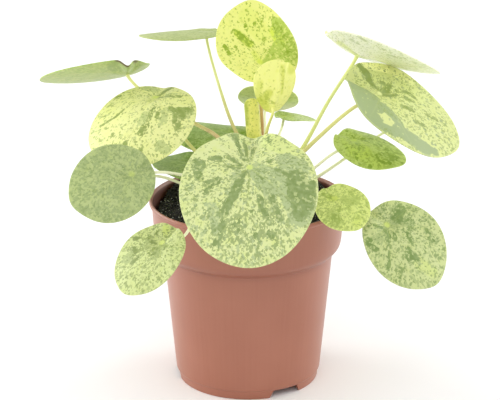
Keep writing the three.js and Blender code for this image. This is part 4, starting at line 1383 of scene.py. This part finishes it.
def scatter_tree():
    numbers = ["Density", "Least Size", "Most Size", "Length", "Lift", "Roughness"]
    tree, bits, out = new_tree("scatter", "GeometryNodeTree", {"Geometry": "Geometry"},
                               {"Ground": "Geometry", "Seed": "Int", "Material": "Material"}, numbers)
    where = flow_of(tree, "GeometryNodeInputPosition") / MM
    x, y, z = split(where)
    reach = calculate("LENGTH", joined(tree, x, y, 0.0))
    free = calculate("GREATER_THAN", reach, KEEP_FROM_STEM) * calculate("LESS_THAN", reach, KEEP_IN_WALL)
    free = free * calculate("GREATER_THAN", z, SOIL_TOP - 1.5)
    points = flow_of(tree, "GeometryNodeDistributePointsOnFaces", {"distribute_method": "RANDOM"},
                     Mesh=bits["Ground"], Selection=free, Density=bits["Density"], Seed=bits["Seed"])
    shape = flow_of(tree, "GeometryNodeMeshIcoSphere", Radius=MM, Subdivisions=1)
    seed = bits["Seed"]
    size = random_value(tree, seed, bits["Least Size"], bits["Most Size"])
    stretch = random_value(tree, seed, (0.6, 0.6, 0.6), (1.0, 1.0, 1.0), "FLOAT_VECTOR")
    turn = random_value(tree, seed, (-0.5, -0.5, 0.0), (0.5, 0.5, math.tau), "FLOAT_VECTOR")
    scale = stretch * size * joined(tree, bits["Length"], 1.0, 1.0)
    placed = flow_of(tree, "GeometryNodeInstanceOnPoints", Points=points, Instance=shape, Rotation=turn,
                     Scale=scale)
    realized = flow_of(tree, "GeometryNodeRealizeInstances", Geometry=placed)
    knobs = joined(tree, noise(where, KNOB_SIZE), noise(where + 50.0, KNOB_SIZE), bits["Lift"])
    offset = knobs * joined(tree, bits["Roughness"], bits["Roughness"], 1.0) * MM
    moved = flow_of(tree, "GeometryNodeSetPosition", Geometry=realized, Offset=offset)
    finish_tree(tree, out, moved, bits["Material"])
    return tree


SCATTER = scatter_tree()
print("scatter has", len(SCATTER.nodes), "nodes")

# %% Crumbs, grains and fibres
SCATTERED = {
    "soil_crumbs": dict(density=0.42, least=0.5, most=1.7, length=1.2, lift=0.15, roughness=0.9,
                        seed=4, dark="#161614", light="#48463e"),
    "soil_grains": dict(density=0.05, least=0.25, most=0.6, length=1.1, lift=0.9, roughness=0.3,
                        seed=9, dark="#969a96", light="#e2e4de"),
    "soil_fibres": dict(density=0.03, least=0.22, most=0.34, length=13.0, lift=0.9, roughness=1.6,
                        seed=15, dark="#34322c", light="#8c8c80"),
}


def scatter(name, bits):
    settings = {"Density": bits["density"] / MM ** 2, "Least Size": bits["least"],
                "Most Size": bits["most"], "Length": bits["length"], "Lift": bits["lift"],
                "Roughness": bits["roughness"], "Seed": bits["seed"],
                "Material": soil_material(name, bits["dark"], bits["light"], 0.85)}
    mesh = grow(add_object(name, soil.data.copy()), SCATTER, settings)
    return place(name, mesh, None)


scattered = [scatter(name, bits) for name, bits in SCATTERED.items()]
print([len(piece.data.polygons) for piece in scattered], "faces scattered")
